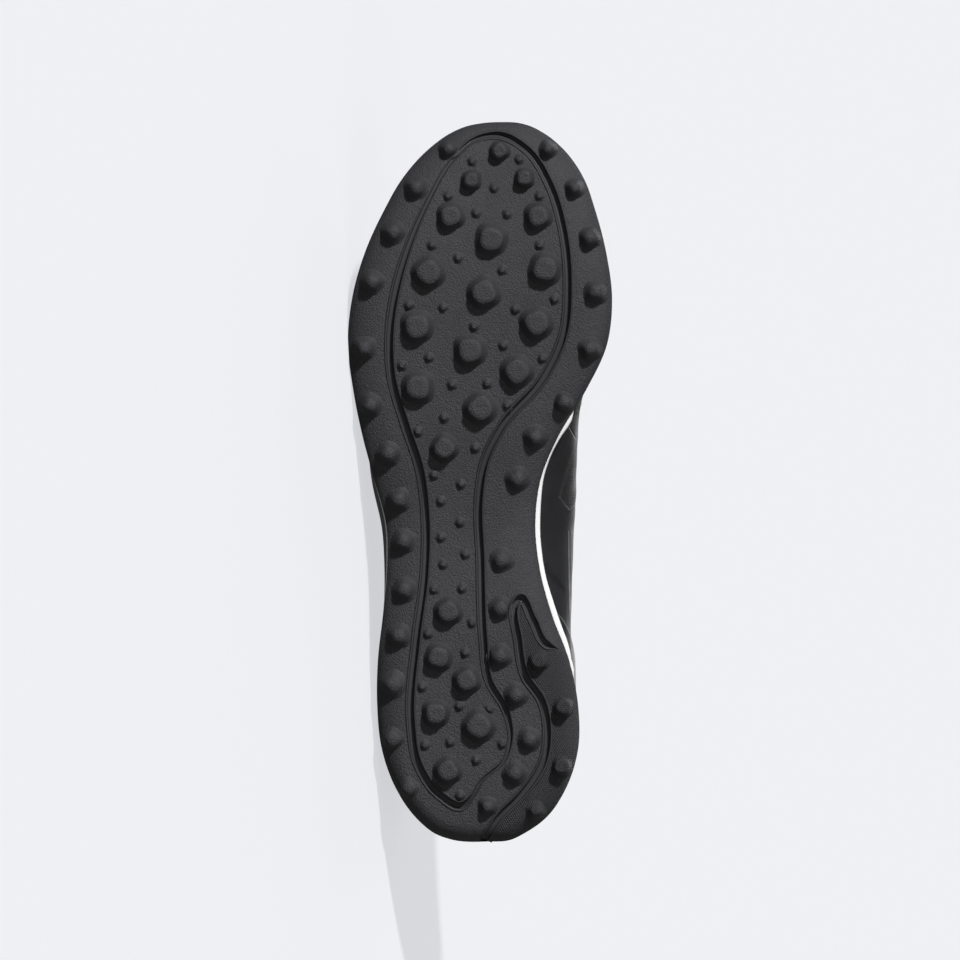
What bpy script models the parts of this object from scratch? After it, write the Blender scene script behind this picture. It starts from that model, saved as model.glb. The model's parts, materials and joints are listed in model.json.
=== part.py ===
"""A right turf shoe, lying on its outer side as it would on a floor.

The shoe is modelled standing, heel at the origin, toe along +Y, outer side along +X, ground at z = 0,
and one empty then lays all of it down on the sole's outer edge and the upper's outer side.
Lengths are in metres. Tables hold shares of the named sizes that they follow.
"""

import math

import bmesh
import bpy
import numpy as np
from mathutils import Matrix, Vector
from mathutils.kdtree import KDTree

# Driving sizes
LENGTH = 0.285
BALL_WIDTH = 0.1042
COLLAR_HEIGHT = 0.098
TOE_SPRING = 0.012
HEEL_BEVEL = 0.0025
ARCH_LIFT = 0.0025
CLEARANCE = 0.0003
SAME_POINT = 1e-6

# Where the underside bends, in shares of LENGTH
TOE_SPRING_FROM = 0.74
HEEL_BEVEL_FROM = 0.11
ARCH_FROM, ARCH_TO = 0.28, 0.60

# Outsole: a cupped rubber shell with lugs and grooves
LUG_HEIGHT = 0.0052
LUG_FLARE = 1.65
LUG_ROOT = 0.0022
LUG_SIDES = 9
PLATE = 0.0030
CUP_WALL = 0.0026
CUP_DRAFT = 0.0004
CUP_FLOOR_INSET = 0.0085
CUP_CORNER_RISE = 0.0018
# The rounded edge: inset, and rise as a share of the lip
EDGE_CURVE = ((0.0, 0.84), (0.0016, 0.52), (0.0055, 0.20), (0.0125, 0.0))
GROOVE_WIDTH = 0.0018
GROOVE_DEPTH = 0.0009

# Midsole and insole
FEATHER_LEDGE = 0.0020
MIDSOLE_EDGE_ROUND = 0.0006
MIDSOLE_BULGE_AT = 0.55
INSOLE = 0.0040
INSOLE_ROUND = 0.0010
INSOLE_GAP = 0.0009

# Upper and what is laid on it
WALL = 0.0020
COLLAR_PAD = 0.0050
PAD_REACH = 0.16  # padding fades over this share of LENGTH behind the collar's front
PAD_FROM, PAD_TO = 0.50, 0.64  # and between these shares of COLLAR_HEIGHT
RIDGE_ONLY = 8  # the power that keeps the ridge's slope to the leaning part of the wall
CROWN_REACH = 0.42  # how far the wall runs on in its own direction before the top edge
SIDE_STEP = 0.01  # the step over which the wall's directions are read
OVERLAY = 0.0012
OVERLAY_LIFT = 0.16
OVERLAY_GAP = 0.0005
EYELET_RADIUS = 0.0022
EYELET_SIDES = 8
EYELET_PAIRS = 6
EYELET_ROW = 0.915  # how far up the wall they stand
EYELET_BACK, EYELET_AHEAD = 0.042, 0.045  # how far the end ones stand from the throat's two ends
LACE_WIDTH = 0.0050
LACE_THICKNESS = 0.0012
LACE_STEP = 0.6  # how far the upper layer of crossings stands above the lower one, in lace thicknesses
LACE_END = 0.4  # how far a bar runs on past its eyelet's middle, in lace widths
LACE_ARCH = (0.25, 0.5, 0.75)
LACE_FACE_UP = 0.6  # how much the middle of a bar turns to face up
EDGE_READ = 0.985  # the wall's directions are read this far up at its edge
TONGUE_TOP = 0.0045
TONGUE_FRONT = 0.0020
TONGUE_RISE = 0.026
TONGUE_GAP = 0.0011
TONGUE_ROWS = (0.88, 0.92, 0.95, 0.98)
TONGUE_TUCKED_COLUMNS = 2
TONGUE_FLAP = 0.1
TONGUE_LIFT = 0.35
TONGUE_FREE = ((0.4, 0.86), (0.86, 0.84), (1.0, 0.74))  # rise past the collar, width left

# Densities, used only to find how the shoe lies, and how squarely a face of its hull must face the floor
DENSITY = {"outsole": 1150, "midsole": 300, "insole": 250, "tongue": 350}
UPPER_DENSITY = 900
FLOOR_FACING = 0.5

# The loft's columns from heel to toe on each side, and its rows from the sole to the top edge
COLUMNS = 30
ROWS = (0.0, 0.10, 0.21, 0.33, 0.46, 0.60, 0.76, 0.88, 1.0)

# Sole outline: share of LENGTH from the heel, then the outer and inner half widths in BALL_WIDTH
HEEL_TIP = -0.012
TOE_TIP = -0.076
OUTLINE = (
    # along, outer, inner
    (0.010, 0.148, 0.165),
    (0.034, 0.238, 0.243),
    (0.074, 0.318, 0.321),
    (0.128, 0.372, 0.368),
    (0.190, 0.390, 0.371),
    (0.253, 0.387, 0.336),
    (0.315, 0.369, 0.272),
    (0.378, 0.353, 0.226),
    (0.440, 0.357, 0.209),
    (0.502, 0.402, 0.229),
    (0.565, 0.448, 0.300),
    (0.627, 0.482, 0.402),
    (0.690, 0.501, 0.479),
    (0.752, 0.486, 0.499),
    (0.815, 0.440, 0.478),
    (0.877, 0.364, 0.436),
    (0.919, 0.296, 0.391),
    (0.960, 0.197, 0.315),
    (0.984, 0.115, 0.243),
)

# How the sole changes along its length, in metres: rubber lip, foam thickness, and how far inside the
# outline the foam's outer and inner edges stand
SOLE_SIDE = (
    # along, lip, foam, outer edge, inner edge
    (0.00, 0.0080, 0.0150, 0.0009, 0.0009),
    (0.18, 0.0080, 0.0150, 0.0009, 0.0009),
    (0.24, 0.0070, 0.0150, 0.0009, 0.0000),
    (0.36, 0.0048, 0.0135, -0.0003, -0.0015),
    (0.50, 0.0048, 0.0115, 0.0000, -0.0015),
    (0.57, 0.0054, 0.0098, 0.0009, -0.0010),
    (0.61, 0.0060, 0.0090, 0.0009, 0.0000),
    (0.66, 0.0065, 0.0085, 0.0009, 0.0009),
    (0.85, 0.0070, 0.0078, 0.0009, 0.0009),
    (1.00, 0.0085, 0.0070, 0.0009, 0.0009),
)

# Upper, a row for each section: share of the way round from heel to toe; the top edge's place (shares of
# LENGTH, BALL_WIDTH and COLLAR_HEIGHT); its lean from upright; how far the outer and inner walls swell, in
# BALL_WIDTH; and how high they stay upright, as a share of their own height
UPPER = (
    # round, along, half, middle, height, lean, outer, inner, rise
    (0.00, 0.030, 0.000, 0.000, 0.930, 6, 0.034, 0.034, 0.46),
    (0.06, 0.035, 0.110, 0.000, 0.924, 8, 0.034, 0.034, 0.46),
    (0.12, 0.056, 0.192, 0.000, 0.880, 12, 0.032, 0.032, 0.44),
    (0.20, 0.114, 0.248, 0.002, 0.770, 16, 0.030, 0.030, 0.42),
    (0.28, 0.200, 0.262, 0.004, 0.708, 20, 0.040, 0.092, 0.42),
    (0.36, 0.288, 0.240, 0.008, 0.770, 28, 0.072, 0.236, 0.42),
    (0.43, 0.362, 0.196, 0.010, 0.920, 40, 0.096, 0.325, 0.42),
    (0.48, 0.430, 0.168, 0.010, 0.893, 52, 0.098, 0.328, 0.42),
    (0.53, 0.505, 0.150, 0.008, 0.815, 60, 0.076, 0.236, 0.42),
    (0.58, 0.575, 0.128, 0.005, 0.744, 68, 0.048, 0.130, 0.44),
    (0.63, 0.640, 0.078, 0.001, 0.684, 78, 0.040, 0.066, 0.46),
    (0.66, 0.668, 0.000, -0.002, 0.658, 90, 0.036, 0.050, 0.48),
    (0.73, 0.737, 0.000, -0.012, 0.608, 90, 0.034, 0.040, 0.52),
    (0.80, 0.800, 0.000, -0.026, 0.562, 90, 0.032, 0.036, 0.58),
    (0.88, 0.858, 0.000, -0.042, 0.516, 90, 0.032, 0.034, 0.66),
    (0.95, 0.897, 0.000, -0.052, 0.482, 90, 0.032, 0.032, 0.72),
    (1.00, 0.912, 0.000, -0.056, 0.468, 90, 0.032, 0.032, 0.74),
)
THROAT_FRONT = 0.66
COLLAR_FRONT = 0.43
COUNTER_FRONT = 0.345
COUNTER_BACK = 0.12
COUNTER_TOP = 0.60
EYESTAY_LOW = 0.76
EYESTAY_FRONT = 0.74
EYESTAY_ROUND = 0.20

# Lugs: share of LENGTH, distance from the middle line (outer side positive) in BALL_WIDTH, top radius, and
# share of height
BIG, MEDIUM, SMALL, LOW = 0.0052, 0.0044, 0.0032, 0.0026
LUGS = (
    # centre field, toe to heel
    (0.958, -0.073, SMALL, 1.0),
    (0.917, 0.034, SMALL, 1.0),
    (0.920, -0.167, SMALL, 1.0),
    (0.867, 0.112, MEDIUM, 1.0),
    (0.867, -0.219, MEDIUM, 1.0),
    (0.835, -0.042, BIG, 1.0),
    (0.789, 0.195, BIG, 1.0),
    (0.794, -0.245, BIG, 1.0),
    (0.761, -0.014, BIG, 1.0),
    (0.714, 0.239, BIG, 1.0),
    (0.719, -0.214, BIG, 1.0),
    (0.681, 0.038, BIG, 1.0),
    (0.652, -0.140, BIG, 1.0),
    (0.630, 0.235, BIG, 1.0),
    (0.601, -0.001, BIG, 1.0),
    (0.546, 0.136, MEDIUM, 1.0),
    (0.320, 0.121, MEDIUM, 1.0),
    (0.257, 0.158, MEDIUM, 1.0),
    (0.225, 0.051, MEDIUM, 1.0),
    (0.179, 0.168, MEDIUM, 1.0),
    (0.162, 0.005, BIG, 1.0),
    (0.100, 0.123, MEDIUM, 1.0),
    # outer border, toe to heel
    (0.961, 0.121, LOW, 0.7),
    (0.907, 0.243, SMALL, 0.9),
    (0.845, 0.330, SMALL, 0.9),
    (0.776, 0.409, SMALL, 0.9),
    (0.684, 0.440, SMALL, 0.9),
    (0.605, 0.417, SMALL, 0.9),
    (0.538, 0.348, SMALL, 0.9),
    (0.474, 0.309, SMALL, 0.8),
    (0.417, 0.291, SMALL, 0.8),
    (0.350, 0.287, SMALL, 0.8),
    (0.286, 0.309, SMALL, 0.9),
    (0.219, 0.330, SMALL, 0.9),
    (0.144, 0.332, SMALL, 0.9),
    (0.076, 0.271, LOW, 0.7),
    # inner border, toe to heel
    (0.961, -0.258, LOW, 0.9),
    (0.906, -0.358, LOW, 0.9),
    (0.837, -0.416, SMALL, 0.9),
    (0.762, -0.437, SMALL, 0.9),
    (0.683, -0.416, SMALL, 0.9),
    (0.609, -0.319, SMALL, 0.9),
    (0.561, -0.209, SMALL, 0.9),
    (0.503, -0.141, SMALL, 0.8),
    (0.391, -0.081, SMALL, 0.8),
    (0.324, -0.077, SMALL, 0.9),
    (0.258, -0.074, SMALL, 0.9),
    (0.204, -0.135, SMALL, 0.9),
    (0.143, -0.186, SMALL, 0.9),
    (0.096, -0.130, SMALL, 0.9),
    (0.050, -0.028, LOW, 0.9),
    # heel pod on the inner side, front to back
    (0.252, -0.221, SMALL, 1.0),
    (0.188, -0.315, SMALL, 1.0),
    (0.106, -0.309, SMALL, 1.0),
    (0.044, -0.211, LOW, 0.9),
)

# Grooves, in the same shares as the lugs: one loop round the centre field and one line round the heel pod
FIELD_GROOVE = (
    (0.981, -0.074),
    (0.961, -0.175),
    (0.912, -0.262),
    (0.851, -0.312),
    (0.775, -0.332),
    (0.702, -0.314),
    (0.644, -0.241),
    (0.577, -0.084),
    (0.528, -0.018),
    (0.474, 0.005),
    (0.398, -0.001),
    (0.283, -0.012),
    (0.226, -0.031),
    (0.179, -0.101),
    (0.144, -0.114),
    (0.115, -0.092),
    (0.085, -0.005),
    (0.062, 0.034),
    (0.051, 0.070),
    (0.066, 0.154),
    (0.108, 0.234),
    (0.169, 0.262),
    (0.281, 0.242),
    (0.374, 0.210),
    (0.446, 0.206),
    (0.519, 0.230),
    (0.581, 0.286),
    (0.646, 0.336),
    (0.712, 0.341),
    (0.775, 0.313),
    (0.832, 0.265),
    (0.890, 0.195),
    (0.944, 0.108),
    (0.976, 0.012),
)
POD_GROOVE = (
    (0.004, -0.018),
    (0.034, -0.070),
    (0.070, -0.165),
    (0.111, -0.237),
    (0.155, -0.254),
    (0.196, -0.233),
    (0.231, -0.170),
    (0.280, -0.144),
    (0.333, -0.138),
    (0.338, -0.149),
    (0.310, -0.197),
    (0.275, -0.249),
    (0.268, -0.305),
)
FIELD_GROOVE_POINTS = 76
POD_GROOVE_POINTS = 36

# Fine points in each span of a smooth line, and the step along the outline over which its direction is read
PER_SPAN = 12
OUTLINE_STEP = 0.004


def smooth_between(stations, values, at):
    """Values at the places asked for, on one smooth curve through a table's rows."""
    stations, values, at = (np.asarray(a, float) for a in (stations, values, at))
    slopes = np.gradient(values, stations)
    row = np.clip(np.searchsorted(stations, at, side="right") - 1, 0, len(stations) - 2)
    span = stations[row + 1] - stations[row]
    t = np.clip((at - stations[row]) / span, 0, 1)
    rise = values[row] * (2 * t**3 - 3 * t**2 + 1) + values[row + 1] * (3 * t**2 - 2 * t**3)
    return rise + span * (slopes[row] * (t**3 - 2 * t**2 + t) + slopes[row + 1] * (t**3 - t**2))


def table_column(table, index, at):
    """One column of a table, read smoothly at the given values of its first column."""
    rows = np.array(table, float)
    return smooth_between(rows[:, 0], rows[:, index], at)


def run_lengths(points):
    """Distance along a line of points, from its first point."""
    steps = np.linalg.norm(np.diff(points, axis=0), axis=1)
    return np.concatenate([[0.0], np.cumsum(steps)])


def even_points(points, count):
    """Points at even distances along a line of points, both ends included."""
    along = run_lengths(points)
    at = np.linspace(0, along[-1], count)
    return np.stack([np.interp(at, along, points[:, axis]) for axis in range(points.shape[1])], 1)


def smooth_line(points, closed=False):
    """A fine line through a few points, passing smoothly through each of them."""
    points = np.array(points, float)
    wrap = 3 if closed else 0
    if closed:
        points = np.concatenate([points[-wrap:], points, points[: wrap + 1]])
    along = run_lengths(points)
    first, last = wrap, len(points) - 1 - wrap
    at = np.interp(np.linspace(first, last, (last - first) * PER_SPAN + 1), np.arange(len(points)), along)
    return np.stack([smooth_between(along, points[:, axis], at) for axis in range(points.shape[1])], 1)


def on_plan(along, across):
    """A place on the sole, in metres, from shares of the length and the ball width."""
    return np.array([across * BALL_WIDTH, along * LENGTH])


def half_outlines():
    """The outer and the inner half of the sole's outline, each a fine line from heel tip to toe tip."""
    outer = [on_plan(along, half) for along, half, _ in OUTLINE]
    inner = [on_plan(along, -half) for along, _, half in OUTLINE]
    ring = [on_plan(0, HEEL_TIP), *outer, on_plan(1, TOE_TIP), *reversed(inner)]
    line = smooth_line(ring, closed=True)
    toe = (len(outer) + 1) * PER_SPAN
    return line[: toe + 1], line[toe:][::-1]


HALVES = half_outlines()


def outline_at(side, share):
    """Plan points and outward directions on one half of the outline (side 0 outer, 1 inner)."""
    line = HALVES[side]
    along = run_lengths(line)
    at = np.asarray(share, float) * along[-1]
    step = OUTLINE_STEP * along[-1]
    place, after, before = (
        np.stack([np.interp(at + move, along, line[:, axis]) for axis in (0, 1)], -1)
        for move in (0, step, -step)
    )
    ahead = after - before
    ahead /= np.linalg.norm(ahead, axis=-1, keepdims=True)
    turn = 1 if side == 0 else -1
    outward = np.stack([turn * ahead[..., 1], -turn * ahead[..., 0]], -1)
    ends = np.isclose(np.asarray(share), 0) | np.isclose(np.asarray(share), 1)
    tip = np.where(np.asarray(share)[..., None] < 0.5, [0.0, -1.0], [0.0, 1.0])
    return place, np.where(ends[..., None], tip, outward)


def outline_ring():
    """All columns round the sole: outer side from heel to toe, then the inner side back to the heel."""
    shares = np.arange(COLUMNS + 1) / COLUMNS
    outer, outer_way = outline_at(0, shares)
    inner, inner_way = outline_at(1, shares[1:-1][::-1])
    return np.concatenate([outer, inner]), np.concatenate([outer_way, inner_way])


PLAN, OUTWARD = outline_ring()
ON_INNER = np.arange(len(PLAN)) > COLUMNS


def along_share(y):
    """Share of the shoe's length at a place along it."""
    return np.clip(np.asarray(y, float) / LENGTH, 0, 1)


def ground_rise(y):
    """Height of the outsole's underside between the lugs, before the lugs' own height."""
    share = along_share(y)
    toe = TOE_SPRING * np.clip((share - TOE_SPRING_FROM) / (1 - TOE_SPRING_FROM), 0, 1) ** 2
    heel = HEEL_BEVEL * np.clip(1 - share / HEEL_BEVEL_FROM, 0, 1) ** 2
    arch = ARCH_LIFT * np.sin(np.pi * np.clip((share - ARCH_FROM) / (ARCH_TO - ARCH_FROM), 0, 1)) ** 2
    return toe + heel + arch


def base_height(y):
    """Height of the outsole's underside between the lugs."""
    return LUG_HEIGHT + ground_rise(y)


def lip_height(y):
    """Height of the rubber lip above the underside."""
    return table_column(SOLE_SIDE, 1, along_share(y))


def bed_height(y):
    """Height of the midsole's top, on which the upper and the insole sit."""
    foam = table_column(SOLE_SIDE, 2, along_share(y))
    return base_height(y) + PLATE + CLEARANCE + foam


def foam_edge(side, y):
    """How far inside the outline the midsole's side stands; at the waist it stands outside it."""
    return table_column(SOLE_SIDE, 3 + side, along_share(y))


def edge_rise(x, y):
    """How far the outsole's rounded edge rises above the underside at one place."""
    lines = np.concatenate(HALVES)
    inset = np.hypot(lines[:, 0] - x, lines[:, 1] - y).min()
    insets, shares = zip(*EDGE_CURVE)
    return float(np.interp(inset, insets, shares) * lip_height(y))


def cup_corner(y):
    """Height of the cup's inner corner, where its wall turns down to its floor."""
    return base_height(y) + EDGE_CURVE[1][1] * lip_height(y) + CUP_CORNER_RISE


def foam_ring():
    """The inset of the midsole's side at every column."""
    return np.where(ON_INNER, foam_edge(1, PLAN[:, 1]), foam_edge(0, PLAN[:, 1]))


def ring_at(inset, height):
    """One ring of the sole: the outline moved inwards, at a height worked out for each column."""
    inset = np.broadcast_to(inset, len(PLAN))
    plan = PLAN - OUTWARD * inset[:, None]
    return np.column_stack([plan, height(plan[:, 1])])


def new_object(name, vertices, faces, material=None, cutter=False):
    """A mesh object in the shoe's collection, with its faces turned outwards."""
    mesh = bpy.data.meshes.new(name)
    mesh.from_pydata([tuple(map(float, v)) for v in vertices], [], faces)
    shape = bmesh.new()
    shape.from_mesh(mesh)
    bmesh.ops.remove_doubles(shape, verts=shape.verts, dist=SAME_POINT)
    bmesh.ops.recalc_face_normals(shape, faces=shape.faces)
    shape.to_mesh(mesh)
    shape.free()
    return place_object(bpy.data.objects.new(name, mesh), material, cutter)


def place_object(item, material=None, cutter=False):
    """Puts an object in its collection, under the empty that lays the shoe down."""
    bpy.data.collections["cutters" if cutter else "turf_shoe"].objects.link(item)
    item.parent = bpy.data.objects["lie_down"]
    if material:
        item.data.materials.append(material)
    if cutter:
        item.hide_render = True
        item.display_type = "WIRE"
    return item


def loft(name, rings, material=None, cutter=False):
    """A closed solid through rings of the sole, with its first and last ring filled from side to side."""
    count = len(rings[0])
    half = count // 2
    vertices = np.concatenate(rings)
    faces = []
    for level in range(len(rings) - 1):
        for column in range(count):
            beside = (column + 1) % count
            low, high = level * count, (level + 1) * count
            faces.append((low + column, low + beside, high + beside, high + column))
    for start in (0, (len(rings) - 1) * count):
        for column in range(half):
            strip = [column, column + 1, count - column - 1, (count - column) % count]
            faces.append(tuple(start + corner for corner in dict.fromkeys(strip)))
    return new_object(name, vertices, faces, material, cutter)


def plain_material(name, colour, roughness):
    """A Principled material of one colour."""
    material = bpy.data.materials.new(name)
    material.use_nodes = True
    shader = material.node_tree.nodes["Principled BSDF"]
    shader.inputs["Base Color"].default_value = (*colour, 1)
    shader.inputs["Roughness"].default_value = roughness
    shader.inputs["Metallic"].default_value = 0
    return material


def boolean(target, operation, other):
    """A Boolean on the target with one object or a whole collection."""
    modifier = target.modifiers.new(operation.lower(), "BOOLEAN")
    modifier.operation = operation
    modifier.solver = "EXACT"
    if isinstance(other, bpy.types.Collection):
        modifier.operand_type = "COLLECTION"
        modifier.collection = other
    else:
        modifier.object = other
    return modifier


def cone(name, radius_low, radius_high, depth, sides, matrix):
    """A cutter or lug: a closed cone or cylinder along its own Z, centred on its origin."""
    mesh = bpy.data.meshes.new(name)
    shape = bmesh.new()
    sizes = {"radius1": radius_low, "radius2": radius_high, "depth": depth}
    bmesh.ops.create_cone(shape, cap_ends=True, segments=sides, matrix=matrix, **sizes)
    shape.to_mesh(mesh)
    shape.free()
    return place_object(bpy.data.objects.new(name, mesh), cutter=True)


def collection(name):
    """A new collection under the scene."""
    made = bpy.data.collections.new(name)
    bpy.context.scene.collection.children.link(made)
    return made


def cup_rings(gap, over):
    """Rings of the rubber cup's inside, moved inwards and upwards by a gap and ending over the lip."""
    return [
        ring_at(CUP_FLOOR_INSET + gap, lambda y: base_height(y) + PLATE + gap),
        ring_at(CUP_WALL + CUP_DRAFT + gap, lambda y: cup_corner(y) + gap),
        ring_at(CUP_WALL + gap, lambda y: base_height(y) + lip_height(y) + over),
    ]


def make_outsole(material):
    """The rubber cup, its lugs and its grooves."""
    rings = [
        ring_at(inset, lambda y, rise=rise: base_height(y) + rise * lip_height(y))
        for inset, rise in reversed(EDGE_CURVE)
    ]
    rings.append(ring_at(CUP_DRAFT, lambda y: base_height(y) + lip_height(y)))
    outsole = loft("outsole", rings, material)
    lugs = bpy.data.collections.new("lugs")
    bpy.data.collections["cutters"].children.link(lugs)
    for number, (along, across, radius, share) in enumerate(LUGS):
        x, y = on_plan(along, across)
        height = LUG_HEIGHT * share
        depth = height + edge_rise(x, y) + LUG_ROOT
        low = float(base_height(y)) - height
        place = Matrix.Translation((x, y, low + depth / 2))
        lug = cone(f"lug_{number:02d}", radius, radius * LUG_FLARE, depth, LUG_SIDES, place)
        bpy.data.collections["cutters"].objects.unlink(lug)
        lugs.objects.link(lug)
    boolean(outsole, "UNION", lugs)
    boolean(outsole, "DIFFERENCE", loft("cup_hollow", cup_rings(0, LUG_HEIGHT), cutter=True))
    for name, table, closed, count in (
        ("field_groove", FIELD_GROOVE, True, FIELD_GROOVE_POINTS),
        ("pod_groove", POD_GROOVE, False, POD_GROOVE_POINTS),
    ):
        plan = even_points(smooth_line([on_plan(*row) for row in table], closed), count + closed)
        boolean(outsole, "DIFFERENCE", groove(name, plan[:count], closed))
    return outsole


def groove(name, plan, closed):
    """A thin bar, square on its corner, along the underside: what it cuts is a V-shaped groove."""
    ahead = np.roll(plan, -1, 0) - np.roll(plan, 1, 0) if closed else np.gradient(plan, axis=0)
    ahead /= np.linalg.norm(ahead, axis=1, keepdims=True)
    side = np.column_stack([ahead[:, 1], -ahead[:, 0], np.zeros(len(plan))])
    line = np.column_stack([plan, base_height(plan[:, 1])])
    up = np.array([0, 0, 1.0])
    wide, below = GROOVE_WIDTH / 2, GROOVE_DEPTH / 4
    reach = wide * (GROOVE_DEPTH + below) / GROOVE_DEPTH
    corners = [
        line + side * reach - up * below,
        line + up * GROOVE_DEPTH,
        line - side * reach - up * below,
        line - up * (GROOVE_DEPTH + 2 * below),
    ]
    count, spans = len(plan), len(plan) - (not closed)
    faces = []
    for point in range(spans):
        after = (point + 1) % count
        for corner in range(4):
            beside = (corner + 1) % 4
            here, there = corner * count, beside * count
            faces.append((here + point, here + after, there + after, there + point))
    if not closed:
        faces += [tuple(corner * count for corner in range(4))]
        faces += [tuple(corner * count + count - 1 for corner in range(4))]
    return new_object(name, np.concatenate(corners), faces, cutter=True)


def make_midsole(material):
    """The white foam: its lower part stands in the rubber cup, and its side steps out over the lip."""
    def lip_top(y):
        return base_height(y) + lip_height(y) + CLEARANCE

    def half_way(y):
        return lip_top(y) + MIDSOLE_BULGE_AT * (bed_height(y) - lip_top(y))

    edge = foam_ring()
    rings = [
        *cup_rings(CLEARANCE, CLEARANCE),
        ring_at(edge, lip_top),
        ring_at(edge, half_way),
        ring_at(edge + MIDSOLE_EDGE_ROUND, bed_height),
    ]
    return loft("midsole", rings, material)


def make_insole(material):
    """The footbed, inside the upper's wall."""
    edge = foam_ring() + FEATHER_LEDGE + WALL + INSOLE_GAP
    rings = [
        ring_at(edge, lambda y: bed_height(y) + CLEARANCE),
        ring_at(edge, lambda y: bed_height(y) + CLEARANCE + INSOLE - INSOLE_ROUND),
        ring_at(edge + INSOLE_ROUND, lambda y: bed_height(y) + CLEARANCE + INSOLE),
    ]
    return loft("insole", rings, material)


def top_edge(side, u):
    """Place of the upper's top edge: the collar, then the throat, then the ridge over the vamp."""
    turn = 1 if side == 0 else -1
    half = np.where(np.asarray(u) >= THROAT_FRONT, 0, np.maximum(table_column(UPPER, 2, u), 0))
    return np.stack(
        [
            (table_column(UPPER, 3, u) + turn * half) * BALL_WIDTH,
            table_column(UPPER, 1, u) * LENGTH,
            table_column(UPPER, 4, u) * COLLAR_HEIGHT,
        ],
        -1,
    )


def wall(side, u, v):
    """Points of the upper's outer face: u runs from heel to toe, v from the sole to the top edge."""
    u, v = np.broadcast_arrays(np.asarray(u, float), np.asarray(v, float))
    plan, outward = outline_at(side, u)
    plan = plan - outward * (foam_edge(side, plan[..., 1]) + FEATHER_LEDGE)[..., None]
    start = np.concatenate([plan, (bed_height(plan[..., 1]) + CLEARANCE)[..., None]], -1)
    end = top_edge(side, u)
    span = end - start
    reach = np.linalg.norm(span, axis=-1, keepdims=True)
    inward = span[..., :2] / np.linalg.norm(span[..., :2], axis=-1, keepdims=True)
    lean = np.radians(np.clip(table_column(UPPER, 5, u), 0, 90))
    ahead = top_edge(side, np.minimum(u + SIDE_STEP, 1)) - top_edge(side, np.maximum(u - SIDE_STEP, 0))
    slope = np.sin(lean) ** RIDGE_ONLY * ahead[..., 2] / ahead[..., 1] * inward[..., 1]
    finish = np.concatenate([inward * np.sin(lean)[..., None], (np.cos(lean) + slope)[..., None]], -1)
    swell = table_column(UPPER, 6 + side, u) * BALL_WIDTH
    rise = np.zeros_like(start)
    rise[..., :2] = outward * swell[..., None]
    rise[..., 2] = table_column(UPPER, 8, u) * span[..., 2]
    first = start + rise
    second = end - finish * CROWN_REACH * reach
    t = v[..., None]
    return (1 - t) ** 3 * start + 3 * (1 - t) ** 2 * t * first + 3 * (1 - t) * t**2 * second + t**3 * end


def wall_patch(kept, lift=0.0):
    """Vertices and triangles of the upper where kept(u, v) holds, both sides joined where they meet.

    Cells are split along the counter's front edge low down and along the eyestay's high up, so that an
    overlay has the same facets as the wall under it. A lift moves the lowest row up by that share of its
    distance to the next one.
    """
    falling = (((0, 0), (1, 0), (0, 1)), ((1, 0), (1, 1), (0, 1)))
    rising = (((0, 0), (1, 1), (0, 1)), ((0, 0), (1, 0), (1, 1)))
    shares = np.arange(COLUMNS + 1) / COLUMNS
    count = len(ROWS)
    vertices, faces = [], []
    for side in (0, 1):
        start = len(vertices)
        grid = wall(side, shares[:, None], np.array(ROWS)[None, :])
        grid[:, 0] += lift * (grid[:, 1] - grid[:, 0])
        vertices += list(grid.reshape(-1, 3))
        for column in range(COLUMNS):
            for row in range(count - 1):
                for halves in falling if ROWS[row] < EYESTAY_LOW else rising:
                    corners = [(column + right, row + up) for right, up in halves]
                    if all(kept(shares[ahead], ROWS[level]) for ahead, level in corners):
                        faces.append(tuple(start + ahead * count + level for ahead, level in corners))
    used = sorted({corner for face in faces for corner in face})
    place = {corner: number for number, corner in enumerate(used)}
    faces = [tuple(place[corner] for corner in face) for face in faces]
    return [vertices[corner] for corner in used], faces


def facing_out(item):
    """The item's mesh in a bmesh, its open surface turned away from the shoe's inside."""
    shape = bmesh.new()
    shape.from_mesh(item.data)
    shape.normal_update()
    away = [Vector((face.calc_center_median().x, 0, COLLAR_PAD)) for face in shape.faces]
    if sum(face.normal.dot(way) for face, way in zip(shape.faces, away)) < 0:
        bmesh.ops.reverse_faces(shape, faces=shape.faces)
        shape.normal_update()
    return shape


def shell(name, patch, thickness, material, pad=None):
    """An open surface given a thickness outwards, or inwards if it is negative."""
    item = new_object(name, *patch, material)
    shape = facing_out(item)
    shape.to_mesh(item.data)
    shape.free()
    solid = item.modifiers.new("wall", "SOLIDIFY")
    solid.thickness = abs(thickness)
    solid.offset = 1 if thickness > 0 else -1
    solid.use_even_offset = pad is None
    if pad:
        group = item.vertex_groups.new(name="padding")
        for vertex in item.data.vertices:
            group.add([vertex.index], pad(vertex.co) / abs(thickness), "REPLACE")
        solid.vertex_group = "padding"
    return item


def overlay(name, kept, upper, material):
    """A layer laid on part of the upper, a small gap off it along the upper's own directions."""
    item = shell(name, wall_patch(kept, OVERLAY_LIFT), OVERLAY, material)
    whole = facing_out(upper)
    whole.verts.ensure_lookup_table()
    near = KDTree(len(whole.verts))
    for number, vertex in enumerate(whole.verts):
        near.insert(vertex.co, number)
    near.balance()
    for vertex in item.data.vertices:
        vertex.co += whole.verts[near.find(vertex.co)[1]].normal * OVERLAY_GAP
    whole.free()
    return item


def collar_padding(place):
    """Thickness of the upper's wall: thick foam along the collar, thin everywhere else."""
    front = float(table_column(UPPER, 1, COLLAR_FRONT)) * LENGTH
    back = np.clip((front - place.y) / (PAD_REACH * LENGTH), 0, 1)
    height = np.clip((place.z / COLLAR_HEIGHT - PAD_FROM) / (PAD_TO - PAD_FROM), 0, 1)
    return float(WALL + (COLLAR_PAD - WALL) * back * height)


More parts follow.
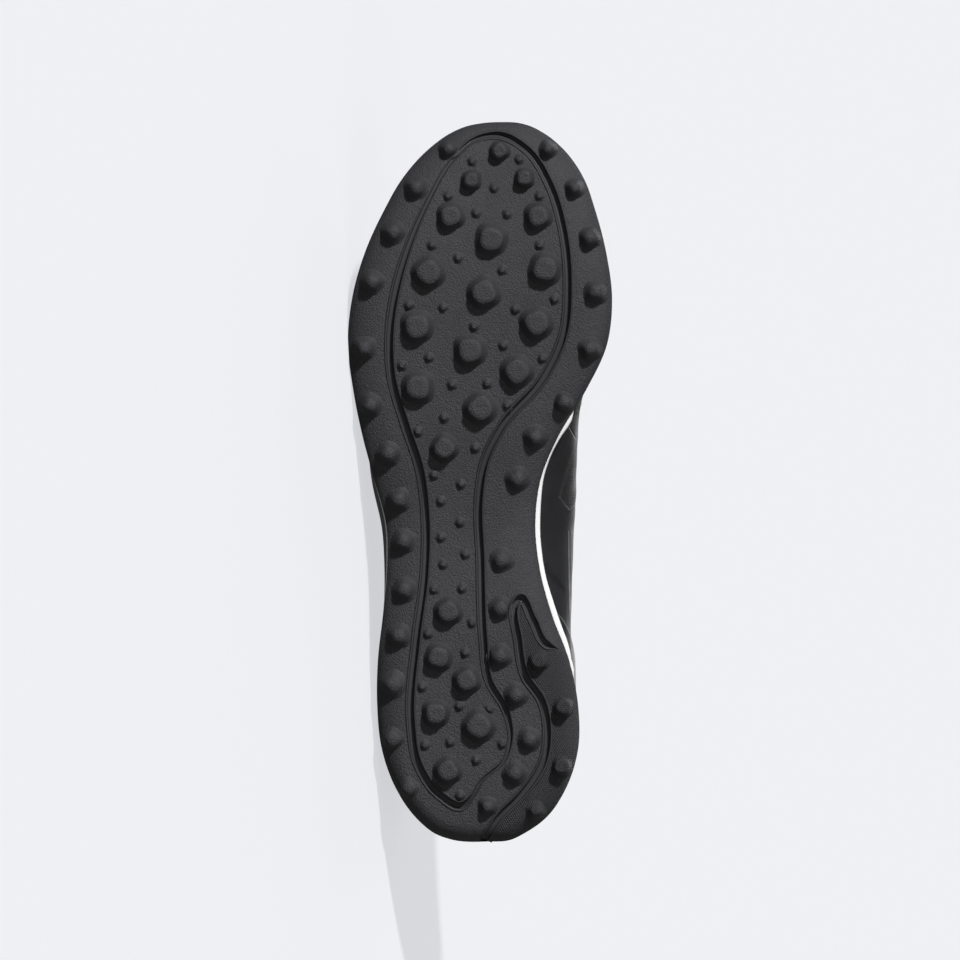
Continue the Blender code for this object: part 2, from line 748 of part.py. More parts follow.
def make_upper(material):
    """The hollow upper, open at the collar and throat and underneath."""
    patch = wall_patch(lambda u, v: True)
    upper = shell("upper", patch, -COLLAR_PAD, material, collar_padding)
    for hole in bpy.data.collections["eyelet_holes"].objects:
        boolean(upper, "DIFFERENCE", hole)
    return upper


def make_overlays(upper, material):
    """The eyestay round the throat and the counter round the heel, each laid on the upper."""

    def in_eyestay(u, v):
        return COLLAR_FRONT <= u <= EYESTAY_FRONT - EYESTAY_ROUND * (1 - v) and v >= EYESTAY_LOW

    eyestay = overlay("eyestay", in_eyestay, upper, material)
    for hole in bpy.data.collections["eyelet_holes"].objects:
        boolean(eyestay, "DIFFERENCE", hole)

    def in_counter(u, v):
        front = COUNTER_FRONT - (COUNTER_FRONT - COUNTER_BACK) * v / COUNTER_TOP
        return u <= front and v <= COUNTER_TOP

    return eyestay, overlay("heel_counter", in_counter, upper, material)


def wall_normal(side, u, v):
    """The upper's outward direction at one place."""
    along = wall(side, u + SIDE_STEP, v) - wall(side, u - SIDE_STEP, v)
    up = wall(side, u, min(v + SIDE_STEP, 1)) - wall(side, u, v - SIDE_STEP)
    normal = np.cross(along, up) * (1 if side == 0 else -1)
    return normal / np.linalg.norm(normal)


def eyelet_shares():
    """Places of the eyelets, from the collar's end of the throat to its front."""
    return np.linspace(COLLAR_FRONT + EYELET_BACK, THROAT_FRONT - EYELET_AHEAD, EYELET_PAIRS)


def make_eyelet_holes():
    """Round cutters through the eyestay and the upper."""
    holes = bpy.data.collections.new("eyelet_holes")
    bpy.data.collections["cutters"].children.link(holes)
    for side in (0, 1):
        for number, share in enumerate(eyelet_shares()):
            place = wall(side, share, EYELET_ROW)
            normal = Vector(wall_normal(side, share, EYELET_ROW))
            turn = normal.to_track_quat("Z", "Y").to_matrix().to_4x4()
            matrix = Matrix.Translation(place) @ turn
            name = f"hole_{side}_{number}"
            hole = cone(name, EYELET_RADIUS, EYELET_RADIUS, 6 * WALL, EYELET_SIDES, matrix)
            bpy.data.collections["cutters"].objects.unlink(hole)
            holes.objects.link(hole)


def under_wall(side, share, v):
    """A place just inside the upper's wall."""
    return wall(side, share, v) - wall_normal(side, share, v) * (WALL + TONGUE_GAP)


def tongue_sections():
    """Sections of the tongue's outer face, from the collar to its front, tucked under the vamp."""
    first = math.ceil(COLLAR_FRONT * COLUMNS) + 1
    last = math.ceil(THROAT_FRONT * COLUMNS) + TONGUE_TUCKED_COLUMNS
    sections = []
    for share in np.arange(first, last + 1) / COLUMNS:
        if share < THROAT_FRONT:
            outer, inner = ([under_wall(side, share, v) for v in (TONGUE_ROWS[0], 1.0)] for side in (0, 1))
            middle = (outer[1] + inner[1]) / 2
            width = np.linalg.norm(outer[1] - inner[1]) / 2
            crown = width * math.tan(math.radians(90 - float(table_column(UPPER, 5, share))) / 2)
            arch = [
                middle + (inner[1] - middle) * t + np.array([0, 0, crown * (1 - t * t)])
                for t in np.linspace(-1, 1, 2 * len(TONGUE_ROWS) - 1)[1:-1]
            ]
            sections.append(np.array([*outer, *arch, *reversed(inner)]))
        else:
            outer, inner = ([under_wall(side, share, v) for v in TONGUE_ROWS] for side in (0, 1))
            ridge = (under_wall(0, share, 1.0) + under_wall(1, share, 1.0)) / 2
            sections.append(np.array([*outer, ridge, *reversed(inner)]))
    return sections


def make_tongue(material):
    """The padded tongue under the throat, standing proud at the top and tucked under the vamp in front."""
    sections = tongue_sections()
    top = sections[0].copy()
    middle = top.mean(0)
    slope = top.mean(0) - sections[1].mean(0)
    way_up = np.array([0, slope[1], slope[2] + np.linalg.norm(slope) * TONGUE_LIFT])
    way_up /= np.linalg.norm(way_up)
    top[0] = top[1] + (top[1] - top[2]) * TONGUE_FLAP
    top[-1] = top[-2] + (top[-2] - top[-3]) * TONGUE_FLAP
    for rise, width in TONGUE_FREE:
        section = top + way_up * rise * TONGUE_RISE
        section[:, 0] = middle[0] + (section[:, 0] - middle[0]) * width
        sections.insert(0, section)
    count = len(top)
    vertices = np.concatenate(sections)
    faces = []
    for section in range(len(sections) - 1):
        for point in range(count - 1):
            corner = section * count + point
            faces.append((corner, corner + 1, corner + count + 1, corner + count))
    throat = float(table_column(UPPER, 1, THROAT_FRONT)) * LENGTH
    collar = float(table_column(UPPER, 1, COLLAR_FRONT)) * LENGTH

    def padding(place):
        share = float(np.clip((throat - place.y) / (throat - collar), 0, 1))
        return TONGUE_FRONT + (TONGUE_TOP - TONGUE_FRONT) * share

    return shell("tongue", (vertices, faces), -TONGUE_TOP, material, padding)


def lace_bar(start, end, layer):
    """One flat bar of the lace between two eyelets given as (side, share); layer is 0 low to 1 high."""
    lift = OVERLAY_GAP + OVERLAY + CLEARANCE + LACE_THICKNESS * (0.5 + LACE_STEP * layer)
    line, normals = [], []
    for (side, share), order in ((start, (EYELET_ROW, 1.0)), (end, (1.0, EYELET_ROW))):
        for v in order:
            normal = wall_normal(side, share, min(v, EDGE_READ))
            line.append(wall(side, share, v) + normal * lift)
            normals.append(normal)
    width = np.linalg.norm(line[2] - line[1]) / 2
    lean = math.radians(90 - float(table_column(UPPER, 5, (start[1] + end[1]) / 2)))
    crown = width * math.tan(lean / 2)
    arch, arch_normals = [], []
    for t in LACE_ARCH:
        place = line[1] * (1 - t) + line[2] * t
        arch.append(place + np.array([0, 0, crown * 4 * t * (1 - t)]))
        normal = normals[1] * (1 - t) + normals[2] * t + np.array([0, 0, LACE_FACE_UP])
        arch_normals.append(normal / np.linalg.norm(normal))
    line = np.array([*line[:2], *arch, *line[2:]])
    normals = np.array([*normals[:2], *arch_normals, *normals[2:]])
    ahead = np.gradient(line, axis=0)
    ahead /= np.linalg.norm(ahead, axis=1, keepdims=True)
    side = np.cross(ahead, normals)
    side /= np.linalg.norm(side, axis=1, keepdims=True)
    line[0] -= ahead[0] * LACE_WIDTH * LACE_END
    line[-1] += ahead[-1] * LACE_WIDTH * LACE_END
    half_wide, half_thick = side * LACE_WIDTH / 2, normals * LACE_THICKNESS / 2
    corners = [line + a * half_wide + b * half_thick for a, b in ((-1, -1), (1, -1), (1, 1), (-1, 1))]
    count = len(line)
    faces = [tuple(corner * count + end for corner in range(4)) for end in (0, count - 1)]
    for point in range(count - 1):
        for corner in range(4):
            beside = (corner + 1) % 4
            here, there = corner * count + point, beside * count + point
            faces.append((here, here + 1, there + 1, there))
    return np.concatenate(corners), faces


def make_lace(material):
    """The lace's straight front bar and its crossings, joined into one solid."""
    shares = eyelet_shares()
    bars = [((0, shares[-1]), (1, shares[-1]), 0.5)]
    for back, front in zip(shares[:-1], shares[1:]):
        bars.append(((0, front), (1, back), 0))
        bars.append(((1, front), (0, back), 1))
    lace = new_object("lace", *lace_bar(*bars[0]), material)
    for number, bar in enumerate(bars[1:]):
        other = new_object(f"bar_{number}", *lace_bar(*bar), cutter=True)
        boolean(lace, "UNION", other)
    return lace


def solid_points(item, graph):
    """Corner points and triangles of an object as the modifiers leave it, in the standing shoe's frame."""
    mesh = item.evaluated_get(graph).to_mesh()
    mesh.calc_loop_triangles()
    points = np.array([v.co for v in mesh.vertices])
    triangles = np.array([t.vertices for t in mesh.loop_triangles])
    item.evaluated_get(graph).to_mesh_clear()
    return points, triangles


def lie_down(pieces):
    """Turns the empty so that the shoe lies on the outer face of its hull under its centre of mass."""
    bpy.context.view_layer.update()
    graph = bpy.context.evaluated_depsgraph_get()
    solids = {item.name: solid_points(item, graph) for item in pieces}
    weight, moment = 0.0, np.zeros(3)
    for name, (points, triangles) in solids.items():
        corners = points[triangles]
        volumes = np.einsum("ij,ij->i", corners[:, 0], np.cross(corners[:, 1], corners[:, 2])) / 6
        density = DENSITY.get(name, UPPER_DENSITY)
        weight += density * volumes.sum()
        moment += density * (volumes[:, None] * corners.sum(1) / 4).sum(0)
    centre = Vector(moment / weight)
    everything = np.concatenate([points for points, _ in solids.values()])
    hull = bmesh.new()
    for point in everything:
        hull.verts.new(point)
    bmesh.ops.convex_hull(hull, input=hull.verts)
    hull.normal_update()
    floor = None
    for face in hull.faces:
        if face.normal.x > FLOOR_FACING:
            hit = centre + Vector((1, 0, 0)) * (face.normal.dot(face.verts[0].co - centre) / face.normal.x)
            if bmesh.geometry.intersect_face_point(face, hit):
                floor = face.normal.copy()
    hull.free()
    toe = Vector((0, 1, 0))
    toe = (toe - floor * toe.dot(floor)).normalized()
    turn = Matrix((-toe, floor.cross(toe), -floor)).to_4x4()
    placed = everything @ np.array(turn.to_3x3()).T
    low, high = placed.min(0), placed.max(0)
    shift = Vector(((low[0] + high[0]) / -2, (low[1] + high[1]) / -2, -low[2]))
    bpy.data.objects["lie_down"].matrix_world = Matrix.Translation(shift) @ turn


def main():
    """Builds the shoe and lays it down."""
    for item in list(bpy.data.objects):
        bpy.data.objects.remove(item)
    collection("turf_shoe")
    collection("cutters")
    empty = bpy.data.objects.new("lie_down", None)
    bpy.data.collections["turf_shoe"].objects.link(empty)
    rubber = plain_material("rubber", (0.045, 0.045, 0.048), 0.62)
    foam = plain_material("foam", (0.80, 0.80, 0.79), 0.55)
    leather = plain_material("leather", (0.028, 0.028, 0.030), 0.48)
    film = plain_material("film", (0.022, 0.022, 0.024), 0.42)
    textile = plain_material("textile", (0.020, 0.020, 0.022), 0.85)
    cord = plain_material("cord", (0.024, 0.024, 0.026), 0.80)
    make_eyelet_holes()
    upper = make_upper(leather)
    pieces = [
        make_outsole(rubber),
        make_midsole(foam),
        make_insole(textile),
        upper,
        *make_overlays(upper, film),
        make_tongue(textile),
        make_lace(cord),
    ]
    lie_down(pieces)


main()
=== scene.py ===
"""Looks of a right turf shoe that lies on its outer side: fine meshes, finishes, light and camera.

The shoe is worked out standing, heel at the origin, toe along +Y, outer side along +X and ground at z = 0.
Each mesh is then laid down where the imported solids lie. Lengths are in metres unless a name ends in _mm.
"""

from __future__ import annotations

import json
import logging
import math
from collections.abc import Callable
from dataclasses import dataclass, field
from enum import Enum

import bmesh
import bpy
import numpy as np
from mathutils import Matrix, Vector
from mathutils.kdtree import KDTree


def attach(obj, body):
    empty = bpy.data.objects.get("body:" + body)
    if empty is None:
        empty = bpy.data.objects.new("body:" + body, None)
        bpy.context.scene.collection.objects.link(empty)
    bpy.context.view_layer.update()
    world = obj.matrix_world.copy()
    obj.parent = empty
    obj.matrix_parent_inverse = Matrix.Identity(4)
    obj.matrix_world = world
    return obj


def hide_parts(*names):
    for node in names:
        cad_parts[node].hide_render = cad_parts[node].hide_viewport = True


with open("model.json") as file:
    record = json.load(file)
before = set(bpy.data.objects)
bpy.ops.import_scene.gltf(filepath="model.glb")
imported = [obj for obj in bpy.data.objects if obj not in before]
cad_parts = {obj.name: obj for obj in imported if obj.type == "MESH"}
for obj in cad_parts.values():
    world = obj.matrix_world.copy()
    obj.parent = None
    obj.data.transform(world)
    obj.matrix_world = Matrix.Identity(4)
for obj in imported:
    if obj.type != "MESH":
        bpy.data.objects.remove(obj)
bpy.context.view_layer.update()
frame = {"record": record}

logging.basicConfig(level=logging.INFO, format="%(message)s")
log = logging.getLogger("turf_shoe")

Tree = bpy.types.NodeTree
Source = bpy.types.NodeSocket | bpy.types.Node

MM = 0.001
# how wide one pixel of the photograph is on the sole, and the pixel at the standing shoe's origin
PHOTO_SCALE_MM = 0.3961
PHOTO_ORIGIN = (480, 841)


def from_photo(px: float, py: float) -> tuple[float, float]:
    """A plan place on the standing shoe, in millimetres, from its pixel in the photograph."""
    return (PHOTO_ORIGIN[0] - px) * PHOTO_SCALE_MM, (PHOTO_ORIGIN[1] - py) * PHOTO_SCALE_MM


class Side(Enum):
    """The two halves of the shoe: the outer one lies on the floor."""

    OUTER = 0
    INNER = 1

    @property
    def turn(self) -> int:
        """+1 towards the outer side, -1 towards the inner side."""
        return 1 if self is Side.OUTER else -1


def smooth_between(stations: np.ndarray, values: np.ndarray, at: np.ndarray) -> np.ndarray:
    """Values on one smooth curve through a table's rows.

    Args:
        stations: Where the rows stand, rising.
        values: Their values.
        at: Where values are asked for.

    Returns:
        The values there.
    """
    stations, values, at = (np.asarray(a, float) for a in (stations, values, at))
    slopes = np.gradient(values, stations)
    row = np.clip(np.searchsorted(stations, at, side="right") - 1, 0, len(stations) - 2)
    span = stations[row + 1] - stations[row]
    t = np.clip((at - stations[row]) / span, 0, 1)
    rise = values[row] * (2 * t**3 - 3 * t**2 + 1) + values[row + 1] * (3 * t**2 - 2 * t**3)
    return rise + span * (slopes[row] * (t**3 - 2 * t**2 + t) + slopes[row + 1] * (t**3 - t**2))


def soft_step(low: float, high: float, value: np.ndarray) -> np.ndarray:
    """0 below low, 1 above high, and a soft change between them."""
    t = np.clip((np.asarray(value, float) - low) / (high - low), 0, 1)
    return t * t * (3 - 2 * t)


def run_lengths(points: np.ndarray) -> np.ndarray:
    """Distance along a line of points, from its first point."""
    steps = np.linalg.norm(np.diff(points, axis=0), axis=1)
    return np.concatenate([[0.0], np.cumsum(steps)])


def even_line(points: np.ndarray, count: int, places: int = 3) -> np.ndarray:
    """The same line as count points at even distances, both ends included.

    Args:
        points: Its points, places first and other values after them.
        count: How many points it gets.
        places: How many of the columns are places.

    Returns:
        The points.
    """
    along = run_lengths(points[:, :places])
    at = np.linspace(0, along[-1], count)
    return np.stack([np.interp(at, along, points[:, axis]) for axis in range(points.shape[1])], 1)


def smooth_line(points: list, closed: bool = False, per_span: int = 12, places: int = 3) -> np.ndarray:
    """A fine line that passes smoothly through a few points.

    Args:
        points: The points it passes through, places first and other values after them.
        closed: Whether it runs back to its first point.
        per_span: Fine points for each span.
        places: How many of the columns are places.

    Returns:
        The fine line's points.
    """
    line = np.array(points, float)
    wrap = 3 if closed else 0
    if closed:
        line = np.concatenate([line[-wrap:], line, line[: wrap + 1]])
    along = run_lengths(line[:, :places])
    first, last = wrap, len(line) - 1 - wrap
    steps = np.linspace(first, last, (last - first) * per_span + 1)
    at = np.interp(steps, np.arange(len(line)), along)
    return np.stack([smooth_between(along, line[:, axis], at) for axis in range(line.shape[1])], 1)


def unit(vectors: np.ndarray) -> np.ndarray:
    """The same directions with length one."""
    return vectors / np.maximum(np.linalg.norm(vectors, axis=-1, keepdims=True), 1e-12)


@dataclass
class ShoeForm:
    """The shape that every piece follows: outline, sole heights and the upper's walls."""

    length: float = 0.285
    ball_width: float = 0.1042
    collar_height: float = 0.098
    toe_spring: float = 0.012
    heel_bevel: float = 0.0025
    arch_lift: float = 0.0025
    lug_height: float = 0.0052
    plate: float = 0.0030
    clearance: float = 0.0003
    feather_ledge: float = 0.0020
    toe_spring_from: float = 0.74
    heel_bevel_to: float = 0.11
    arch_from: float = 0.28
    arch_span: float = 0.32
    heel_tip: float = -0.030
    toe_tip: float = -0.078
    throat_front: float = 0.66
    collar_front: float = 0.43
    # along, outer half width, inner half width
    outline: tuple = (
        (0.0025, 0.106, 0.117),
        (0.010, 0.166, 0.160),
        (0.034, 0.246, 0.252),
        (0.074, 0.320, 0.325),
        (0.128, 0.373, 0.371),
        (0.190, 0.391, 0.371),
        (0.253, 0.388, 0.336),
        (0.315, 0.369, 0.272),
        (0.378, 0.353, 0.226),
        (0.440, 0.357, 0.209),
        (0.502, 0.402, 0.229),
        (0.565, 0.448, 0.300),
        (0.627, 0.482, 0.402),
        (0.690, 0.502, 0.481),
        (0.752, 0.487, 0.500),
        (0.815, 0.440, 0.479),
        (0.877, 0.364, 0.436),
        (0.919, 0.299, 0.396),
        (0.960, 0.202, 0.321),
        (0.984, 0.115, 0.244),
        (0.9935, 0.057, 0.196),
        (0.9980, 0.002, 0.158),
    )
    # along, heights of lip and foam, how far inside the outline the foam's outer and inner side stand
    sole_side: tuple = (
        (0.00, 0.0080, 0.0150, 0.0009, 0.0009),
        (0.18, 0.0080, 0.0150, 0.0009, 0.0009),
        (0.24, 0.0070, 0.0150, 0.0009, 0.0000),
        (0.36, 0.0048, 0.0135, -0.0003, -0.0015),
        (0.50, 0.0048, 0.0115, 0.0000, -0.0015),
        (0.57, 0.0054, 0.0098, 0.0009, -0.0010),
        (0.61, 0.0060, 0.0090, 0.0009, 0.0007),
        (0.66, 0.0065, 0.0085, 0.0009, 0.0009),
        (0.85, 0.0070, 0.0078, 0.0009, 0.0009),
        (1.00, 0.0085, 0.0070, 0.0009, 0.0009),
    )
    # round, along, half width, middle, height, lean in degrees, outer swell, inner swell, rise
    sections: tuple = (
        (0.00, 0.030, 0.000, 0.000, 0.930, 6, 0.034, 0.034, 0.46),
        (0.06, 0.035, 0.110, 0.000, 0.924, 8, 0.034, 0.034, 0.46),
        (0.12, 0.056, 0.192, 0.000, 0.880, 12, 0.032, 0.032, 0.44),
        (0.20, 0.114, 0.248, 0.002, 0.770, 16, 0.030, 0.030, 0.42),
        (0.28, 0.200, 0.262, 0.004, 0.708, 20, 0.040, 0.106, 0.42),
        (0.36, 0.288, 0.240, 0.008, 0.770, 28, 0.072, 0.262, 0.42),
        (0.43, 0.362, 0.196, 0.010, 0.920, 40, 0.096, 0.345, 0.42),
        (0.48, 0.430, 0.168, 0.010, 0.893, 52, 0.098, 0.346, 0.42),
        (0.53, 0.505, 0.150, 0.008, 0.815, 60, 0.076, 0.250, 0.42),
        (0.58, 0.575, 0.128, 0.005, 0.744, 68, 0.048, 0.130, 0.44),
        (0.63, 0.640, 0.078, 0.001, 0.684, 78, 0.040, 0.066, 0.46),
        (0.66, 0.668, 0.000, -0.002, 0.658, 90, 0.036, 0.050, 0.48),
        (0.73, 0.737, 0.000, -0.012, 0.608, 90, 0.034, 0.040, 0.52),
        (0.80, 0.800, 0.000, -0.026, 0.562, 90, 0.032, 0.036, 0.58),
        (0.88, 0.858, 0.000, -0.042, 0.516, 90, 0.032, 0.034, 0.66),
        (0.95, 0.897, 0.000, -0.052, 0.482, 90, 0.032, 0.032, 0.72),
        (1.00, 0.912, 0.000, -0.056, 0.468, 90, 0.032, 0.032, 0.74),
    )
    # share of the wall's reach over which it already takes its final direction
    crown_reach: float = 0.42
    # the step over which the wall's directions are read, and how high up they are still read
    read_step: float = 0.01
    read_top: float = 0.985
    # a high power, so that only the part that leans right over follows the ridge's slope
    ridge_only: int = 8
    halves: list = field(init=False)

    def __post_init__(self) -> None:
        """Works out the fine outline once."""
        outer = [self.on_plan(along, half) for along, half, _ in self.outline]
        inner = [self.on_plan(along, -half) for along, _, half in self.outline]
        ring = [self.on_plan(0, self.heel_tip), *outer, self.on_plan(1, self.toe_tip), *reversed(inner)]
        line = smooth_line(ring, closed=True)
        toe = (len(outer) + 1) * 12
        self.halves = [line[: toe + 1], line[toe:][::-1]]

    def on_plan(self, along: float, across: float) -> np.ndarray:
        """A place on the sole from shares of the length and the ball width."""
        return np.array([across * self.ball_width, along * self.length])

    def column(self, table: tuple, index: int, at: np.ndarray) -> np.ndarray:
        """One column of a table, read smoothly at values of its first column."""
        rows = np.array(table, float)
        return smooth_between(rows[:, 0], rows[:, index], at)

    def share(self, y: np.ndarray) -> np.ndarray:
        """Share of the shoe's length at a place along it."""
        return np.clip(np.asarray(y, float) / self.length, 0, 1)

    def outline_at(self, side: Side, share: np.ndarray) -> tuple[np.ndarray, np.ndarray]:
        """Plan points and outward directions on one half of the outline.

        Args:
            side: The half.
            share: Shares of that half's length, from heel to toe.

        Returns:
            The points and the directions.
        """
        line = self.halves[side.value]
        along = run_lengths(line)
        share = np.asarray(share, float)
        at = share * along[-1]
        step = 0.004 * along[-1]
        place, after, before = (
            np.stack([np.interp(at + move, along, line[:, axis]) for axis in (0, 1)], -1)
            for move in (0, step, -step)
        )
        ahead = unit(after - before)
        outward = np.stack([side.turn * ahead[..., 1], -side.turn * ahead[..., 0]], -1)
        ends = np.isclose(share, 0) | np.isclose(share, 1)
        tip = np.where(share[..., None] < 0.5, [0.0, -1.0], [0.0, 1.0])
        return place, np.where(ends[..., None], tip, outward)

    def base_height(self, y: np.ndarray) -> np.ndarray:
        """Height of the outsole's underside between the lugs.

        Args:
            y: Places along the shoe.

        Returns:
            The heights.
        """
        share = self.share(y)
        toe_share = (share - self.toe_spring_from) / (1 - self.toe_spring_from)
        toe = self.toe_spring * np.clip(toe_share, 0, 1) ** 2
        heel = self.heel_bevel * np.clip(1 - share / self.heel_bevel_to, 0, 1) ** 2
        arch = self.arch_lift * np.sin(np.pi * np.clip((share - self.arch_from) / self.arch_span, 0, 1)) ** 2
        return self.lug_height + toe + heel + arch

    def lip_height(self, y: np.ndarray) -> np.ndarray:
        """Height of the rubber lip above the underside."""
        return self.column(self.sole_side, 1, self.share(y))

    def lip_top(self, y: np.ndarray) -> np.ndarray:
        """Height of the rubber lip's top."""
        return self.base_height(y) + self.lip_height(y)

    def bed_height(self, y: np.ndarray) -> np.ndarray:
        """Height of the midsole's top."""
        foam = self.column(self.sole_side, 2, self.share(y))
        return self.base_height(y) + self.plate + self.clearance + foam

    def foam_edge(self, side: Side, y: np.ndarray) -> np.ndarray:
        """How far inside the outline the midsole's side stands."""
        return self.column(self.sole_side, 3 + side.value, self.share(y))

    def top_edge(self, side: Side, u: np.ndarray) -> np.ndarray:
        """Places of the upper's top edge: the collar, the throat, then the ridge over the vamp.

        Args:
            side: The half.
            u: Shares of the way round from heel to toe.

        Returns:
            The places, in the standing shoe's frame.
        """
        half = np.maximum(self.column(self.sections, 2, u), 0)
        half = np.where(np.asarray(u) >= self.throat_front, 0, half)
        x = (self.column(self.sections, 3, u) + side.turn * half) * self.ball_width
        y = self.column(self.sections, 1, u) * self.length
        z = self.column(self.sections, 4, u) * self.collar_height
        return np.stack([x, y, z], -1)

    def wall(self, side: Side, u: np.ndarray, v: np.ndarray) -> np.ndarray:
        """Points of the upper's outer face.

        Args:
            side: The half.
            u: Shares of the way round from heel to toe.
            v: Shares of the way from the sole to the top edge.

        Returns:
            The points, in the standing shoe's frame.
        """
        u, v = np.broadcast_arrays(np.asarray(u, float), np.asarray(v, float))
        plan, outward = self.outline_at(side, u)
        plan = plan - outward * (self.foam_edge(side, plan[..., 1]) + self.feather_ledge)[..., None]
        low = self.bed_height(plan[..., 1]) + self.clearance
        start = np.concatenate([plan, low[..., None]], -1)
        end = self.top_edge(side, u)
        span = end - start
        reach = np.linalg.norm(span, axis=-1, keepdims=True)
        inward = unit(span[..., :2])
        lean = np.radians(np.clip(self.column(self.sections, 5, u), 0, 90))
        step = self.read_step
        ahead = self.top_edge(side, np.minimum(u + step, 1)) - self.top_edge(side, np.maximum(u - step, 0))
        slope = np.sin(lean) ** self.ridge_only * ahead[..., 2] / ahead[..., 1] * inward[..., 1]
        finish = np.concatenate([inward * np.sin(lean)[..., None], (np.cos(lean) + slope)[..., None]], -1)
        swell = self.column(self.sections, 6 + side.value, u) * self.ball_width
        rise = np.zeros_like(start)
        rise[..., :2] = outward * swell[..., None]
        rise[..., 2] = self.column(self.sections, 8, u) * span[..., 2]
        first = start + rise
        second = end - finish * self.crown_reach * reach
        t = v[..., None]
        return (1 - t) ** 3 * start + 3 * (1 - t) ** 2 * t * first + 3 * (1 - t) * t**2 * second + t**3 * end

    def wall_normal(self, side: Side, u: np.ndarray, v: np.ndarray) -> np.ndarray:
        """The upper's outward directions at places on its wall.

        Args:
            side: The half.
            u: Shares of the way round from heel to toe.
            v: Shares of the way from the sole to the top edge.

        Returns:
            The directions, each of length one.
        """
        u, v = np.broadcast_arrays(np.asarray(u, float), np.asarray(v, float))
        step = self.read_step
        along = self.wall(side, np.minimum(u + step, 1), v) - self.wall(side, np.maximum(u - step, 0), v)
        v = np.clip(v, step, self.read_top)
        up = self.wall(side, u, np.minimum(v + step, 1)) - self.wall(side, u, v - step)
        return unit(np.cross(along, up) * side.turn)

    def off_wall(self, side: Side, u: np.ndarray, v: np.ndarray, lift: np.ndarray) -> np.ndarray:
        """Places a distance off the upper's outer face, inwards if it is negative."""
        normal = self.wall_normal(side, u, v)
        return self.wall(side, u, v) + normal * np.asarray(lift, float)[..., None]


@dataclass
class Lying:
    """Lays standing points down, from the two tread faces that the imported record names."""

    # along and across: the lugs whose tops are the two tread faces
    forefoot: tuple = (0.681, 0.038)
    heel: tuple = (0.162, 0.005)
    turn: np.ndarray = field(init=False)
    shift: np.ndarray = field(init=False)

    def settle(self, form: ShoeForm, record: dict) -> None:
        """Works out the turn and the shift.

        Args:
            form: The shoe's form, which says where both faces are on the standing shoe.
            record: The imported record, which says where they are on the lying one.
        """
        mounts = {mount["name"]: mount for mount in record["mounts"]}
        low = np.array([*form.on_plan(*self.heel), 0])
        high = np.array([*form.on_plan(*self.forefoot), 0])
        low_there = np.array(mounts["heel_tread"]["pos_m"])
        high_there = np.array(mounts["forefoot_tread"]["pos_m"])
        up_there = -unit(np.array(mounts["heel_tread"]["axis"]))
        here = np.array([unit(high - low), np.cross([0, 0, 1], unit(high - low)), [0, 0, 1]])
        ahead_there = unit(high_there - low_there)
        ahead_there = unit(ahead_there - up_there * (ahead_there @ up_there))
        there = np.array([ahead_there, np.cross(up_there, ahead_there), up_there])
        self.turn = there.T @ here
        self.shift = (low_there + high_there) / 2 - self.turn @ ((low + high) / 2)

    def lay(self, points: np.ndarray) -> np.ndarray:
        """Standing points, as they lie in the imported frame."""
        return np.asarray(points, float) @ self.turn.T + self.shift

    def way(self, direction: tuple) -> np.ndarray:
        """A standing direction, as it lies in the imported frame."""
        return self.turn @ np.asarray(direction, float)


FORM = ShoeForm()
LYING = Lying()
LYING.settle(FORM, frame["record"])


def linear(colour: str) -> tuple[float, float, float, float]:
    """A linear colour from an sRGB hex value.

    Args:
        colour: Six hex digits after a #.

    Returns:
        Red, green, blue and alpha.
    """
    parts = [int(colour[i : i + 2], 16) / 255 for i in (1, 3, 5)]
    red, green, blue = (c / 12.92 if c <= 0.04045 else ((c + 0.055) / 1.055) ** 2.4 for c in parts)
    return red, green, blue, 1.0


def add_node(tree: Tree, kind: str, *values: object, **settings: object) -> bpy.types.Node:
    """Adds one node with its settings and links.

    Args:
        tree: The node tree.
        kind: The node's type name after ShaderNode.
        *values: Its first inputs in order, or one dict of inputs by name or number. Each is a plain value,
            a socket, or a node whose first output is meant.
        **settings: The node's own properties.

    Returns:
        The node.
    """
    node = tree.nodes.new("ShaderNode" + kind)
    for name, setting in settings.items():
        setattr(node, name, setting)
    inputs = values[0] if values and isinstance(values[0], dict) else dict(enumerate(values))
    for name, value in inputs.items():
        if isinstance(value, bpy.types.Node):
            value = value.outputs[0]
        if isinstance(value, bpy.types.NodeSocket):
            tree.links.new(value, node.inputs[name])
        else:
            node.inputs[name].default_value = value
    return node


